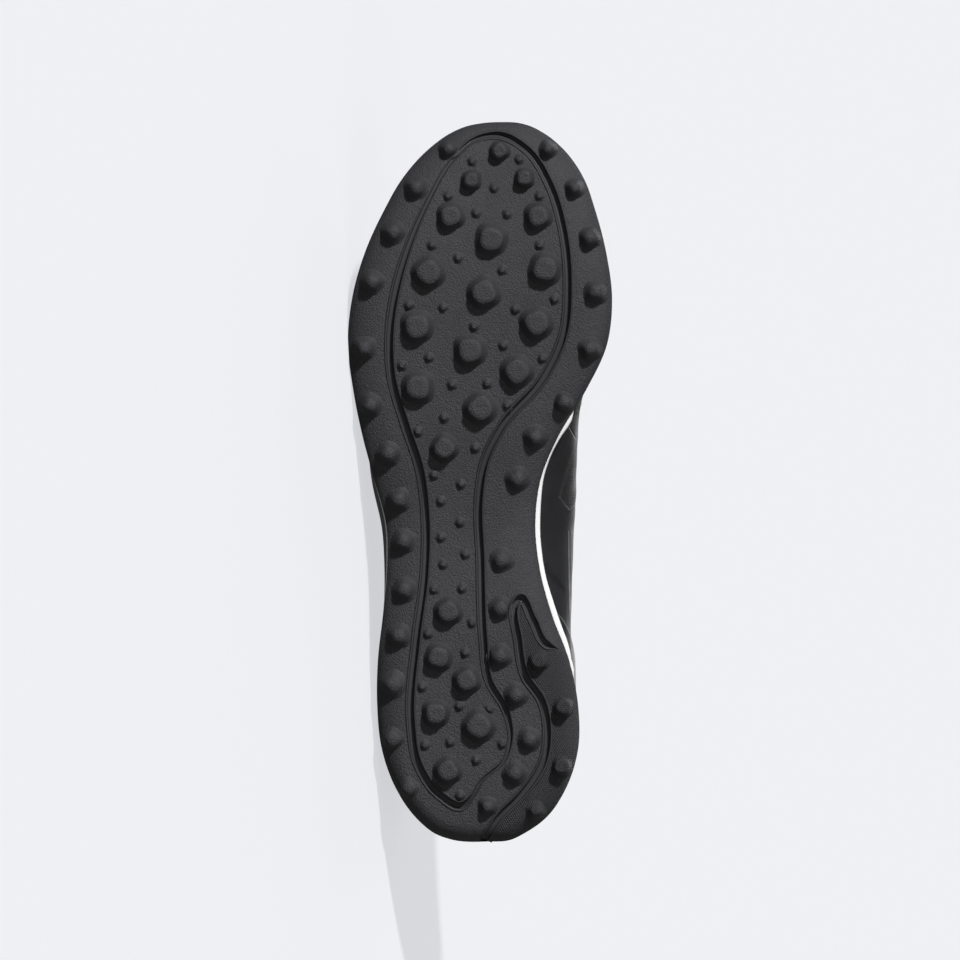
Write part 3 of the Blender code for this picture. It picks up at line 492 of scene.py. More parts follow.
@dataclass(frozen=True)
class Finish:
    """A finish: its colours, gloss and fine relief. Each kind of finish draws its own relief."""

    name: str
    colour: str
    shade: str
    roughness: float = 0.6
    roughness_spread: float = 0.08
    specular: float = 0.5
    coat: float = 0.0
    coat_roughness: float = 0.3
    sheen: float = 0.0
    # all of them are plastics or rubber: an index near 1.5, and no metal
    ior: float = 1.5
    metallic: float = 0.0
    relief_mm: float = 0.05
    pebble_mm: float = 0.8
    cloud_mm: float = 18.0

    def relief(self, tree: Tree, place: Source) -> Source:
        """Height of the fine relief, from 0 to 1."""
        return add_node(tree, "TexNoise", {"Vector": place, "Scale": 1 / self.pebble_mm, "Detail": 3})

    def tone(self, tree: Tree, place: Source, height: Source) -> Source:
        """How far the colour is from the shade to the main one, from 0 to 1.

        Args:
            tree: The node tree.
            place: Where it is read, in millimetres.
            height: Height of the fine relief.

        Returns:
            Its value.
        """
        cloud = add_node(tree, "TexNoise", {"Vector": place, "Scale": 1 / self.cloud_mm, "Detail": 3})
        deep = add_node(tree, "Math", height, 0.35, operation="MULTIPLY")
        return add_node(tree, "Math", cloud, 1.1, deep, operation="MULTIPLY_ADD")

    def make(self) -> bpy.types.Material:
        """Builds the material.

        Returns:
            The material.
        """
        material = bpy.data.materials.new(self.name)
        material.use_nodes = True
        tree = material.node_tree
        shader = tree.nodes["Principled BSDF"]
        place = add_node(tree, "Attribute", attribute_name="stand_mm").outputs["Vector"]
        height = self.relief(tree, place)
        # numbers of the mix node's factor, colour A and colour B
        colours = {0: self.tone(tree, place, height), 6: linear(self.shade), 7: linear(self.colour)}
        mix = add_node(tree, "Mix", colours, data_type="RGBA", clamp_factor=True)
        patches = add_node(tree, "TexNoise", {"Vector": place, "Scale": 3 / self.cloud_mm, "Detail": 3})
        low, high = self.roughness - self.roughness_spread, self.roughness + self.roughness_spread
        rough = add_node(tree, "MapRange", patches, 0.3, 0.7, low, high)
        bump = add_node(tree, "Bump", {"Height": height, "Strength": 1.0, "Distance": self.relief_mm * MM})
        for name, socket in (
            ("Base Color", mix.outputs[2]),
            ("Roughness", rough.outputs[0]),
            ("Normal", bump.outputs[0]),
        ):
            tree.links.new(socket, shader.inputs[name])
        for name, value in (
            ("Specular IOR Level", self.specular),
            ("Coat Weight", self.coat),
            ("Coat Roughness", self.coat_roughness),
            ("Sheen Weight", self.sheen),
            ("IOR", self.ior),
            ("Metallic", self.metallic),
        ):
            shader.inputs[name].default_value = value
        return material


@dataclass(frozen=True)
class MouldedRubber(Finish):
    """Carbon-black rubber, pressed in an etched mould: dull, with a hide-like grain and a mesh on the pod."""

    # coarser than the real 0.35 mm, so that the grain shows
    grain_mm: float = 0.66
    # the diamonds are half of this across, 0.95 mm: coarser than the real 0.6 mm, so that they show
    mesh_mm: float = 1.9
    mesh_slant: float = 0.62
    mesh_height: float = 1.4

    def relief(self, tree: Tree, place: Source) -> Source:
        """A fine grain of small rounded cells, and a diamond mesh where the pod attribute says so.

        Args:
            tree: The node tree.
            place: Where it is read, in millimetres.

        Returns:
            The height.
        """
        cell = {"Vector": place, "Scale": 1 / self.grain_mm, "Smoothness": 0.6, "Randomness": 1.0}
        cells = add_node(tree, "TexVoronoi", cell, feature="SMOOTH_F1")
        domes = add_node(tree, "Math", 1.0, cells, operation="SUBTRACT")
        speckle = add_node(tree, "TexNoise", {"Vector": place, "Scale": 2 / self.grain_mm, "Detail": 3})
        grain = add_node(tree, "Math", domes, speckle, operation="ADD")
        axes = add_node(tree, "SeparateXYZ", place)
        waves = []
        for slant in (self.mesh_slant, -self.mesh_slant):
            across, along = axes.outputs["X"], axes.outputs["Y"]
            line = add_node(tree, "Math", along, slant, across, operation="MULTIPLY_ADD")
            turns = add_node(tree, "Math", line, 2 * math.pi / self.mesh_mm, operation="MULTIPLY")
            wave = add_node(tree, "Math", turns, operation="SINE")
            waves.append(add_node(tree, "Math", wave, operation="ABSOLUTE"))
        mesh = add_node(tree, "Math", *waves, operation="MINIMUM")
        raised = add_node(tree, "Math", mesh, self.mesh_height, operation="MULTIPLY")
        pod = add_node(tree, "Attribute", attribute_name="pod").outputs["Fac"]
        on_pod = add_node(tree, "Math", raised, pod, operation="MULTIPLY")
        flat = add_node(tree, "Math", pod, -0.4, 1.0, operation="MULTIPLY_ADD")
        both = add_node(tree, "Math", grain, flat, on_pod, operation="MULTIPLY_ADD")
        # no grain along the grooves; as the tone follows this height, it also paints the grooves darker:
        # painted shade in the channels and on their beads
        groove = add_node(tree, "Attribute", attribute_name="groove").outputs["Fac"]
        outside_grooves = add_node(tree, "Math", 1.0, groove, operation="SUBTRACT")
        return add_node(tree, "Math", both, outside_grooves, operation="MULTIPLY")

    def tone(self, tree: Tree, place: Source, height: Source) -> Source:
        """Cloudy, with paler high spots, and paler on the pod: painted light that stands in for the brighter
        light the pod catches.

        Args:
            tree: The node tree.
            place: Where it is read, in millimetres.
            height: Height of the fine relief.

        Returns:
            Its value.
        """
        plain = add_node(tree, "Math", super().tone(tree, place, height), 0.8, operation="MULTIPLY")
        pod = add_node(tree, "Attribute", attribute_name="pod").outputs["Fac"]
        # painted light: the pod is painted paler for the brighter light that it catches
        return add_node(tree, "Math", pod, 0.55, plain, operation="MULTIPLY_ADD")


@dataclass(frozen=True)
class WovenCloth(Finish):
    """Nylon cloth, woven and backed with foam: rounded threads that pass over and under, a soft sheen."""

    # coarser than the real 0.4 mm, so that the threads show
    thread_mm: float = 0.9

    def relief(self, tree: Tree, place: Source) -> Source:
        """Rounded threads in two directions, the higher one on top.

        Args:
            tree: The node tree.
            place: Where it is read, in millimetres.

        Returns:
            The height.
        """
        cloth = add_node(tree, "Attribute", attribute_name="cloth_mm").outputs["Vector"]
        axes = add_node(tree, "SeparateXYZ", cloth)
        turn = math.pi / self.thread_mm
        lines = [add_node(tree, "Math", axes.outputs[axis], turn, operation="MULTIPLY") for axis in "XY"]
        sines = [add_node(tree, "Math", line, operation="SINE") for line in lines]
        over = add_node(tree, "Math", *sines, operation="MULTIPLY")
        cosines = [add_node(tree, "Math", line, operation="COSINE") for line in lines]
        ribs = [add_node(tree, "Math", wave, operation="ABSOLUTE") for wave in cosines]
        warp = add_node(tree, "Math", over, 0.5, ribs[0], operation="MULTIPLY_ADD")
        weft = add_node(tree, "Math", over, -0.5, ribs[1], operation="MULTIPLY_ADD")
        threads = add_node(tree, "Math", warp, weft, operation="MAXIMUM")
        fuzz = add_node(tree, "TexNoise", {"Vector": place, "Scale": 2 / self.thread_mm, "Detail": 3})
        return add_node(tree, "Math", fuzz, 0.4, threads, operation="MULTIPLY_ADD")


@dataclass(frozen=True)
class CoatedLeather(Finish):
    """Microfibre leather with a urethane coat: shallow pebble grain under a satin skin, with painted
    highlight on the raised edges and painted shade in the creases of the inner waist.
    """

    grain_mm: float = 1.1
    # ribs of the open knit, coarser than the real 0.6 mm, so that they show
    thread_mm: float = 0.9
    # pixels in the photograph, half width in mm, height: edges and creases of the inner waist
    marks: tuple = (
        (((568.5, 425.0), (571.0, 430.0), (575.5, 437.5)), 0.5, -2.2),
        (((577.0, 441.0), (573.0, 449.0), (569.5, 459.0), (566.0, 472.0), (560.0, 498.0)), 0.9, 1.3),
        (((560.0, 498.0), (565.0, 506.0), (569.5, 511.0), (574.0, 507.5)), 0.8, 2.0),
        (((568.2, 532.0), (568.5, 560.0), (569.3, 600.0), (571.0, 652.0)), 0.5, 1.1),
        (((570.0, 532.0), (570.3, 560.0), (571.0, 600.0), (572.6, 652.0)), 0.4, -1.1),
        (((546.0, 566.0), (553.0, 577.0), (562.0, 590.0)), 1.6, -1.8),
    )
    marks_below_mm: float = 52.0

    def mark(self, tree: Tree, place: Source, line: tuple, half_mm: float) -> Source:
        """1 on a line drawn on the inner waist as the photograph shows it, 0 beside it.

        Args:
            tree: The node tree.
            place: Where it is read, seen from the sole.
            line: The line's corners, in pixels of the photograph.
            half_mm: Half of the line's width.

        Returns:
            Its value.
        """
        spots = [Vector((*from_photo(px, py), 0)) for px, py in line]
        nearest = None
        for start, end in zip(spots, spots[1:]):
            way = end - start
            off = add_node(tree, "VectorMath", place, start, operation="SUBTRACT")
            dot = add_node(tree, "VectorMath", off, way, operation="DOT_PRODUCT").outputs["Value"]
            along = add_node(tree, "Math", dot, 1 / way.length_squared, operation="MULTIPLY", use_clamp=True)
            foot = add_node(tree, "VectorMath", {0: way, "Scale": along}, operation="SCALE")
            gap = add_node(tree, "VectorMath", off, foot, operation="DISTANCE").outputs["Value"]
            nearest = gap if nearest is None else add_node(tree, "Math", nearest, gap, operation="MINIMUM")
        return add_node(tree, "MapRange", nearest, 0.0, half_mm, 1.0, 0.0, interpolation_type="SMOOTHSTEP")

    def drawn(self, tree: Tree, place: Source) -> Source:
        """Height of all the lines on the inner waist.

        Args:
            tree: The node tree.
            place: Where it is read, in millimetres.

        Returns:
            The height.
        """
        axes = add_node(tree, "SeparateXYZ", place)
        plan = add_node(tree, "CombineXYZ", axes.outputs["X"], axes.outputs["Y"])
        total = 0.0
        for line, half_mm, height in self.marks:
            one = self.mark(tree, plan, line, half_mm)
            total = add_node(tree, "Math", one, height, total, operation="MULTIPLY_ADD")
        low = add_node(tree, "Math", axes.outputs["Z"], self.marks_below_mm, operation="LESS_THAN")
        return add_node(tree, "Math", total, low, operation="MULTIPLY")

    def tone(self, tree: Tree, place: Source, height: Source) -> Source:
        """Dark all over; the drawn raised edges are painted paler as painted highlight, the drawn creases
        darker as painted shade, and the woven parts are darker.

        Args:
            tree: The node tree.
            place: Where it is read, in millimetres.
            height: Height of the fine relief.

        Returns:
            Its value.
        """
        cloud = add_node(tree, "TexNoise", {"Vector": place, "Scale": 1 / self.cloud_mm, "Detail": 3})
        woven = add_node(tree, "Attribute", attribute_name="knit").outputs["Fac"]
        total = 0.0
        # the drawn lines' heights go into the colour: painted highlight on the raised edges, painted shade in
        # the creases
        for value, weight in ((cloud, 0.3), (height, 0.08), (woven, -0.08), (self.drawn(tree, place), 0.2)):
            total = add_node(tree, "Math", value, weight, total, operation="MULTIPLY_ADD")
        return total

    def relief(self, tree: Tree, place: Source) -> Source:
        """A shallow pebble grain, and open-knit ribs where the knit attribute says so.

        Args:
            tree: The node tree.
            place: Where it is read, in millimetres.

        Returns:
            The height.
        """
        cell = {"Vector": place, "Scale": 1 / self.grain_mm, "Smoothness": 0.8}
        cells = add_node(tree, "TexVoronoi", cell, feature="SMOOTH_F1")
        grain = add_node(tree, "Math", cells, -0.5, 0.5, operation="MULTIPLY_ADD")
        cloth = add_node(tree, "Attribute", attribute_name="cloth_mm").outputs["Vector"]
        axes = add_node(tree, "SeparateXYZ", cloth)
        loops = []
        for axis in "XY":
            turns = add_node(tree, "Math", axes.outputs[axis], math.pi / self.thread_mm, operation="MULTIPLY")
            wave = add_node(tree, "Math", turns, operation="SINE")
            loops.append(add_node(tree, "Math", wave, operation="ABSOLUTE"))
        ribs = add_node(tree, "Math", *loops, operation="MULTIPLY")
        knit = add_node(tree, "Math", ribs, 1.4, operation="MULTIPLY")
        mask = add_node(tree, "Attribute", attribute_name="knit").outputs["Fac"]
        shut = add_node(tree, "Math", 1.0, mask, operation="SUBTRACT")
        plain = add_node(tree, "Math", grain, shut, operation="MULTIPLY")
        both = add_node(tree, "Math", knit, mask, plain, operation="MULTIPLY_ADD")
        marked = add_node(tree, "Math", both, self.drawn(tree, place), operation="ADD")
        seam = add_node(tree, "Attribute", attribute_name="seam").outputs["Fac"]
        return add_node(tree, "Math", seam, -3.0, marked, operation="MULTIPLY_ADD")


@dataclass(frozen=True)
class BraidedCord(Finish):
    """Polyester, braided flat: slanting strands that cross in small chevrons, dull with a faint sheen."""

    # coarser than the real 0.8 mm, so that the strands show
    strand_mm: float = 1.25

    def relief(self, tree: Tree, place: Source) -> Source:
        """Strands that slant both ways and meet on the middle line.

        Args:
            tree: The node tree.
            place: Not used, since the strands follow the lace's own places.

        Returns:
            The height.
        """
        cloth = add_node(tree, "Attribute", attribute_name="cloth_mm").outputs["Vector"]
        axes = add_node(tree, "SeparateXYZ", cloth)
        slant = add_node(tree, "Math", axes.outputs["X"], operation="ABSOLUTE")
        line = add_node(tree, "Math", axes.outputs["Y"], slant, operation="ADD")
        turns = add_node(tree, "Math", line, 2 * math.pi / self.strand_mm, operation="MULTIPLY")
        wave = add_node(tree, "Math", turns, operation="SINE")
        return add_node(tree, "Math", wave, 0.5, 0.5, operation="MULTIPLY_ADD")


class Finishes:
    """The shoe's finishes, each made once."""

    def __init__(self) -> None:
        """Makes them."""
        # each gives its name, colour, shade, roughness, the roughness's spread, gloss, coat, coat's roughness
        # Rubber with carbon black: near black, broad dull highlights, a little paler where its grain stands
        # high
        self.rubber = MouldedRubber(
            "carbon_black_rubber_moulded", "#3a3a3d", "#2f2f32", 0.62, 0.05, 0.42, relief_mm=0.26
        ).make()
        # Moulded foam has a closed skin: off-white, soft gloss, very fine pebble
        self.foam = Finish(
            "eva_foam_moulded", "#fefefe", "#f7f7f6", 0.55, 0.08, 0.4, relief_mm=0.04, cloud_mm=25.0
        ).make()
        # Coated microfibre: satin black with a shallow grain
        self.leather = CoatedLeather(
            "coated_microfibre_embossed", "#3a3a3d", "#17171a", 0.46, 0.07, 0.5, 0.12, 0.35, relief_mm=0.12
        ).make()
        # Pressed film: smoother and a little glossier than the leather under it
        self.film = CoatedLeather(
            "urethane_film_pressed",
            "#363639",
            "#161619",
            0.40,
            0.06,
            0.5,
            0.2,
            0.3,
            relief_mm=0.05,
            grain_mm=0.7,
        ).make()
        # Woven lining over foam: dull, with the threads showing
        self.lining = WovenCloth(
            "nylon_lining_woven", "#2b2b2e", "#1a1a1c", 0.85, 0.05, 0.3, sheen=0.25, relief_mm=0.18
        ).make()
        # Footbed cloth: heavier threads, duller and a shade paler than the lining
        self.footbed = WovenCloth(
            "polyester_footbed_woven",
            "#313135",
            "#1f1f22",
            0.88,
            0.04,
            0.3,
            sheen=0.2,
            relief_mm=0.2,
            thread_mm=1.2,
        ).make()
        # Braided polyester: dull, with a faint sheen
        self.cord = BraidedCord(
            "polyester_lace_braided", "#2f2f32", "#1c1c1e", 0.78, 0.05, 0.35, sheen=0.3, relief_mm=0.16
        ).make()
        # Bonded thread: slightly glossy, a shade lighter than the leather
        self.thread = Finish(
            "polyester_thread_twisted", "#3b3b3e", "#2a2a2c", 0.5, 0.05, 0.5, relief_mm=0.05, cloud_mm=6.0
        ).make()


class Piece:
    """One visible mesh, built from standing points."""

    def __init__(self, name: str, points: np.ndarray, faces: list, **values: np.ndarray) -> None:
        """Makes the mesh and lays it down.

        Args:
            name: The piece's name.
            points: Standing points, in metres.
            faces: Corner numbers of each face.
            **values: Named values for each point, one or three numbers each.
        """
        mesh = bpy.data.meshes.new(name)
        points = np.asarray(points, float)
        mesh.from_pydata([tuple(p) for p in LYING.lay(points).tolist()], [], [tuple(f) for f in faces])
        for key, value in {"stand_mm": points / MM, **values}.items():
            value = np.asarray(value, np.float32)
            kind = "FLOAT_VECTOR" if value.ndim > 1 else "FLOAT"
            store = mesh.attributes.new(key, kind, "POINT")
            store.data.foreach_set("vector" if value.ndim > 1 else "value", value.ravel())
        self.item = bpy.data.objects.new(name, mesh)
        bpy.context.scene.collection.objects.link(self.item)

    def join_doubles(self, reach: float = 0.02 * MM) -> None:
        """Joins points in the same place and turns the faces outwards.

        Args:
            reach: Points nearer than this are joined.
        """
        shape = bmesh.new()
        shape.from_mesh(self.item.data)
        bmesh.ops.remove_doubles(shape, verts=shape.verts, dist=reach)
        bmesh.ops.recalc_face_normals(shape, faces=shape.faces)
        shape.to_mesh(self.item.data)
        shape.free()

    def face_away(self, inside: np.ndarray) -> None:
        """Turns an open sheet so that its faces look away from a standing point.

        Args:
            inside: The standing point.
        """
        middle = Vector(LYING.lay(inside))
        mesh = self.item.data
        total = sum(face.normal.dot(face.center - middle) * face.area for face in mesh.polygons)
        if total < 0:
            mesh.flip_normals()

    def add_modifier(self, kind: str, **settings: object) -> None:
        """Adds a modifier with its settings.

        Args:
            kind: The modifier's type.
            **settings: Its own properties.
        """
        modifier = self.item.modifiers.new(kind.lower(), kind)
        for name, value in settings.items():
            setattr(modifier, name, value)

    def apply_modifiers(self) -> None:
        """Puts what the modifiers do into the mesh."""
        graph = bpy.context.evaluated_depsgraph_get()
        mesh = bpy.data.meshes.new_from_object(self.item.evaluated_get(graph))
        self.item.modifiers.clear()
        self.item.data = mesh

    def pad(self, shares: np.ndarray) -> None:
        """Stores each point's share of the full padding.

        Args:
            shares: The shares, from 0 to 1.
        """
        group = self.item.vertex_groups.new(name="padding")
        for number, share in enumerate(shares.tolist()):
            group.add([number], share, "REPLACE")

    def take_out(self, unwanted: Callable[[bmesh.types.BMFace], bool]) -> None:
        """Deletes the faces that a test picks out.

        Args:
            unwanted: The test, which is given a face.
        """
        shape = bmesh.new()
        shape.from_mesh(self.item.data)
        bmesh.ops.delete(shape, geom=[face for face in shape.faces if unwanted(face)], context="FACES")
        shape.to_mesh(self.item.data)
        shape.free()

    def cut_holes(self, places: list, reach: float) -> None:
        """Takes out the faces within reach of some standing places."""
        middles = [Vector(LYING.lay(place)) for place in places]
        self.take_out(lambda face: any((face.calc_center_median() - m).length < reach for m in middles))

    def dress(
        self, slot: str, *materials: bpy.types.Material, replaces: tuple = (), sharp: float = 50
    ) -> None:
        """Gives the piece its finish and smooth shading, puts it under the root body and hides the CAD parts
        that it stands for.

        Args:
            slot: The record's material slot; not used.
            *materials: Its materials, by face number.
            replaces: CAD nodes that it stands for.
            sharp: Edges bent by more degrees than this stay sharp.
        """
        self.item.data.materials.clear()
        for material in materials:
            self.item.data.materials.append(material)
        self.item.data.shade_smooth()
        self.item.data.set_sharp_from_angle(angle=math.radians(sharp))
        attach(self.item, "root")
        if replaces:
            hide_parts(*replaces)
        log.info("%s: %d faces", self.item.name, len(self.item.data.polygons))


def grid_faces(rows: int, columns: int, closed: bool = False, start: int = 0) -> list:
    """Faces of a grid of points stored row by row.

    Args:
        rows: How many rows.
        columns: How many points in each row.
        closed: Whether each row runs back to its first point.
        start: Number of the grid's first point.

    Returns:
        Four corner numbers for each face.
    """
    spans = columns if closed else columns - 1
    row, column = np.meshgrid(np.arange(rows - 1), np.arange(spans), indexing="ij")
    beside = (column + 1) % columns
    near, far = row * columns, (row + 1) * columns
    corners = [near + column, near + beside, far + beside, far + column]
    return (np.stack(corners, -1).reshape(-1, 4) + start).tolist()


def tree_of(points: np.ndarray) -> KDTree:
    """A tree that finds the nearest of some plan points.

    Args:
        points: The plan points.

    Returns:
        The tree.
    """
    tree = KDTree(len(points))
    for number, point in enumerate(points):
        tree.insert((point[0], point[1], 0), number)
    tree.balance()
    return tree


def distances(tree: KDTree, x: np.ndarray, y: np.ndarray) -> np.ndarray:
    """Distance from each plan place to the tree's nearest point."""
    found = [tree.find((a, b, 0))[2] for a, b in zip(x.ravel().tolist(), y.ravel().tolist())]
    return np.array(found).reshape(x.shape)


def inside_loop(loop: np.ndarray, x: np.ndarray, y: np.ndarray) -> np.ndarray:
    """Whether each plan place is inside a closed loop.

    Args:
        loop: The loop's corners.
        x: Places across.
        y: Places along.

    Returns:
        True where a place is inside.
    """
    crossings = np.zeros(x.shape, int)
    for (ax, ay), (bx, by) in zip(loop, np.roll(loop, -1, 0)):
        if ay == by:
            continue
        between = (ay > y) != (by > y)
        crossings += between & (x < (bx - ax) * (y - ay) / (by - ay) + ax)
    return crossings % 2 == 1


@dataclass
class Outsole:
    """The rubber sole: a fine underside with lugs, nubs and grooves, and the lip round its edge."""

    rows: int = 470
    columns: int = 190
    cup_wall: float = 0.0026
    # share of the table's radius that the lugs' tops are drawn with
    lug_top_share: float = 0.88
    lug_flare: float = 1.55
    rim_flare: float = 1.85
    lug_dome: float = 0.12
    rim_dome: float = 0.30
    flank_power: float = 1.3
    groove_half: float = 0.00115
    groove_depth: float = 0.0023
    nub_top: float = 0.0010
    nub_foot: float = 0.0023
    nub_height: float = 0.0017
    nub_dome: float = 0.15
    lug_segments: int = 44
    nub_segments: int = 22
    # offset in half widths, height in depths: channel, raised bead, ground
    groove_profile: tuple = (
        (0.00, -1.00),
        (0.70, -0.98),
        (0.88, -0.88),
        (0.97, -0.55),
        (1.06, -0.10),
        (1.16, 0.09),
        (1.34, 0.16),
        (1.56, 0.17),
        (1.72, 0.12),
        (1.84, 0.00),
        (2.00, -0.02),
        (2.60, 0.00),
    )
    # inset, rise as a share of the lip
    edge_curve: tuple = (
        (0.0000, 0.840),
        (0.0008, 0.660),
        (0.0016, 0.530),
        (0.0032, 0.360),
        (0.0055, 0.205),
        (0.0090, 0.065),
        (0.0125, 0.005),
        (0.0150, 0.000),
    )
    # along, across, top radius, share of the height: first the field's lugs, then the rim's and the pod's
    lugs: tuple = (
        (0.958, -0.073, 0.0032, 1.0), (0.917, 0.034, 0.0032, 1.0), (0.920, -0.167, 0.0032, 1.0),
        (0.867, 0.112, 0.0044, 1.0), (0.867, -0.219, 0.0044, 1.0), (0.835, -0.042, 0.0052, 1.0),
        (0.789, 0.195, 0.0052, 1.0), (0.794, -0.245, 0.0052, 1.0), (0.761, -0.014, 0.0052, 1.0),
        (0.714, 0.239, 0.0052, 1.0), (0.719, -0.214, 0.0052, 1.0), (0.681, 0.038, 0.0052, 1.0),
        (0.652, -0.140, 0.0052, 1.0), (0.630, 0.235, 0.0052, 1.0), (0.601, -0.001, 0.0052, 1.0),
        (0.546, 0.136, 0.0044, 1.0), (0.320, 0.121, 0.0044, 1.0), (0.257, 0.158, 0.0044, 1.0),
        (0.225, 0.051, 0.0044, 1.0), (0.179, 0.168, 0.0044, 1.0), (0.162, 0.005, 0.0052, 1.0),
        (0.100, 0.123, 0.0044, 1.0), (0.961, 0.121, 0.0026, 0.7), (0.907, 0.243, 0.0032, 0.9),
        (0.845, 0.330, 0.0032, 0.9), (0.776, 0.409, 0.0032, 0.9), (0.684, 0.440, 0.0032, 0.9),
        (0.605, 0.417, 0.0032, 0.9), (0.538, 0.348, 0.0032, 0.9), (0.474, 0.309, 0.0032, 0.8),
        (0.417, 0.291, 0.0032, 0.8), (0.350, 0.287, 0.0032, 0.8), (0.286, 0.309, 0.0032, 0.8),
        (0.219, 0.330, 0.0036, 0.65), (0.144, 0.332, 0.0036, 0.55), (0.076, 0.271, 0.0030, 0.45),
        (0.961, -0.258, 0.0026, 0.9), (0.906, -0.358, 0.0026, 0.9), (0.837, -0.416, 0.0032, 0.9),
        (0.762, -0.437, 0.0032, 0.9), (0.683, -0.416, 0.0032, 0.9), (0.609, -0.319, 0.0032, 0.9),
        (0.561, -0.209, 0.0032, 0.9), (0.503, -0.141, 0.0032, 0.8), (0.391, -0.081, 0.0032, 0.8),
        (0.324, -0.077, 0.0032, 0.9), (0.258, -0.074, 0.0032, 0.9), (0.204, -0.135, 0.0032, 0.9),
        (0.143, -0.186, 0.0032, 0.9), (0.096, -0.130, 0.0032, 0.9), (0.050, -0.028, 0.0026, 0.9),
        (0.252, -0.221, 0.0032, 1.0), (0.188, -0.315, 0.0032, 1.0), (0.106, -0.309, 0.0032, 1.0),
        (0.044, -0.211, 0.0026, 0.9),
    )
    # small nubs, at their places in the photograph in pixels
    nubs: tuple = (
        (472, 162), (519, 160), (448, 197), (494, 189), (539, 197), (476, 214), (507, 215), (432, 246),
        (539, 246), (458, 259), (502, 271), (409, 306), (443, 308), (515, 310), (554, 300), (474, 327),
        (429, 358), (503, 346), (542, 359), (402, 366), (452, 385), (487, 384), (507, 406), (444, 418),
        (418, 432), (475, 448), (434, 475), (461, 484), (441, 501), (460, 522), (441, 537), (465, 554),
        (443, 564), (434, 589), (462, 588), (472, 622), (428, 633), (465, 652), (422, 686), (459, 705),
        (489, 708), (425, 744), (450, 741), (502, 743), (476, 759), (460, 794),
    )
    # along, across, width as a share of the whole
    field_groove: tuple = (
        (0.981, -0.074, 1.0),
        (0.961, -0.175, 1.0),
        (0.912, -0.262, 1.0),
        (0.851, -0.312, 1.0),
        (0.775, -0.332, 1.0),
        (0.702, -0.314, 1.0),
        (0.644, -0.241, 1.0),
        (0.577, -0.084, 1.0),
        (0.528, -0.018, 1.0),
        (0.474, 0.005, 1.0),
        (0.398, -0.001, 1.0),
        (0.283, -0.012, 1.0),
        (0.226, -0.031, 0.9),
        (0.179, -0.101, 0.8),
        (0.144, -0.114, 0.6),
        (0.115, -0.092, 0.45),
        (0.085, -0.005, 0.45),
        (0.062, 0.034, 0.6),
        (0.051, 0.070, 1.0),
        (0.066, 0.154, 1.0),
        (0.108, 0.234, 1.0),
        (0.169, 0.262, 1.0),
        (0.281, 0.242, 1.0),
        (0.374, 0.210, 1.0),
        (0.446, 0.206, 1.0),
        (0.519, 0.230, 1.0),
        (0.581, 0.286, 1.0),
        (0.646, 0.336, 1.0),
        (0.712, 0.341, 1.0),
        (0.775, 0.313, 1.0),
        (0.832, 0.265, 0.85),
        (0.890, 0.195, 0.6),
        (0.944, 0.108, 0.5),
        (0.976, 0.012, 0.8),
    )
    pod_groove: tuple = (
        (0.004, -0.018),
        (0.034, -0.070),
        (0.070, -0.165),
        (0.111, -0.237),
        (0.155, -0.254),
        (0.196, -0.233),
        (0.231, -0.170),
        (0.280, -0.144),
        (0.333, -0.138),
        (0.338, -0.149),
        (0.310, -0.197),
        (0.275, -0.249),
        (0.267, -0.298),
    )

    def __post_init__(self) -> None:
        """Works out the lines that the underside is shaped by."""
        self.edge = tree_of(np.concatenate([even_line(half, 900) for half in FORM.halves]))
        field_line = [(*FORM.on_plan(along, across), width) for along, across, width in self.field_groove]
        self.field_line = even_line(smooth_line(field_line, closed=True, places=2), 1500, places=2)
        pod_line = even_line(smooth_line([FORM.on_plan(*place) for place in self.pod_groove]), 900)
        left = run_lengths(pod_line)[-1] - run_lengths(pod_line)
        self.pod_line = np.column_stack([pod_line, soft_step(-0.001, 0.006, left)])
        self.pod_tree = tree_of(self.pod_line)
        self.lines = np.concatenate([self.field_line, self.pod_line])
        self.groove_tree = tree_of(self.lines)

    def plain_surface(self, x: np.ndarray, y: np.ndarray) -> np.ndarray:
        """Height of the underside without lugs and grooves.

        Args:
            x: Places across.
            y: Places along.

        Returns:
            The heights.
        """
        inset, share = np.array(self.edge_curve).T
        tight = 1 - 0.5 * (1 - soft_step(0.08, 0.20, FORM.share(y)))
        rise = smooth_between(inset, share, np.minimum(distances(self.edge, x, y) / tight, inset[-1]))
        return FORM.base_height(y) + rise * FORM.lip_height(y)

    def room(self, x: np.ndarray, y: np.ndarray, reach: float) -> np.ndarray:
        """1 along the grooves and 0 farther off, in shares of the channel's width.

        Args:
            x: Places across.
            y: Places along.
            reach: How many half widths from the middle it ends.

        Returns:
            The values.
        """
        share, width = np.full(x.size, reach), np.ones(x.size)
        for number, (a, b) in enumerate(zip(x.ravel().tolist(), y.ravel().tolist())):
            _, nearest, distance = self.groove_tree.find((a, b, 0))
            if distance < reach * self.groove_half:
                width[number] = self.lines[nearest, 2]
                share[number] = distance / (self.groove_half * max(width[number], 0.05))
        return (width * (1 - soft_step(reach - 0.8, reach, share))).reshape(x.shape)

    def in_pod(self, x: np.ndarray, y: np.ndarray) -> np.ndarray:
        """1 on the heel pod and 0 elsewhere, with a soft edge.

        Args:
            x: Places across.
            y: Places along.

        Returns:
            The values.
        """
        corners = [(-0.9, 0.268), (-0.9, -0.1), (-0.018, -0.1)]
        outside = [(across * FORM.ball_width, along * FORM.length) for across, along in corners]
        loop = np.concatenate([self.pod_line[:, :2], outside])
        signed = np.where(inside_loop(loop, x, y), 1, -1) * distances(self.pod_tree, x, y)
        return soft_step(0, 1.2 * MM, signed)

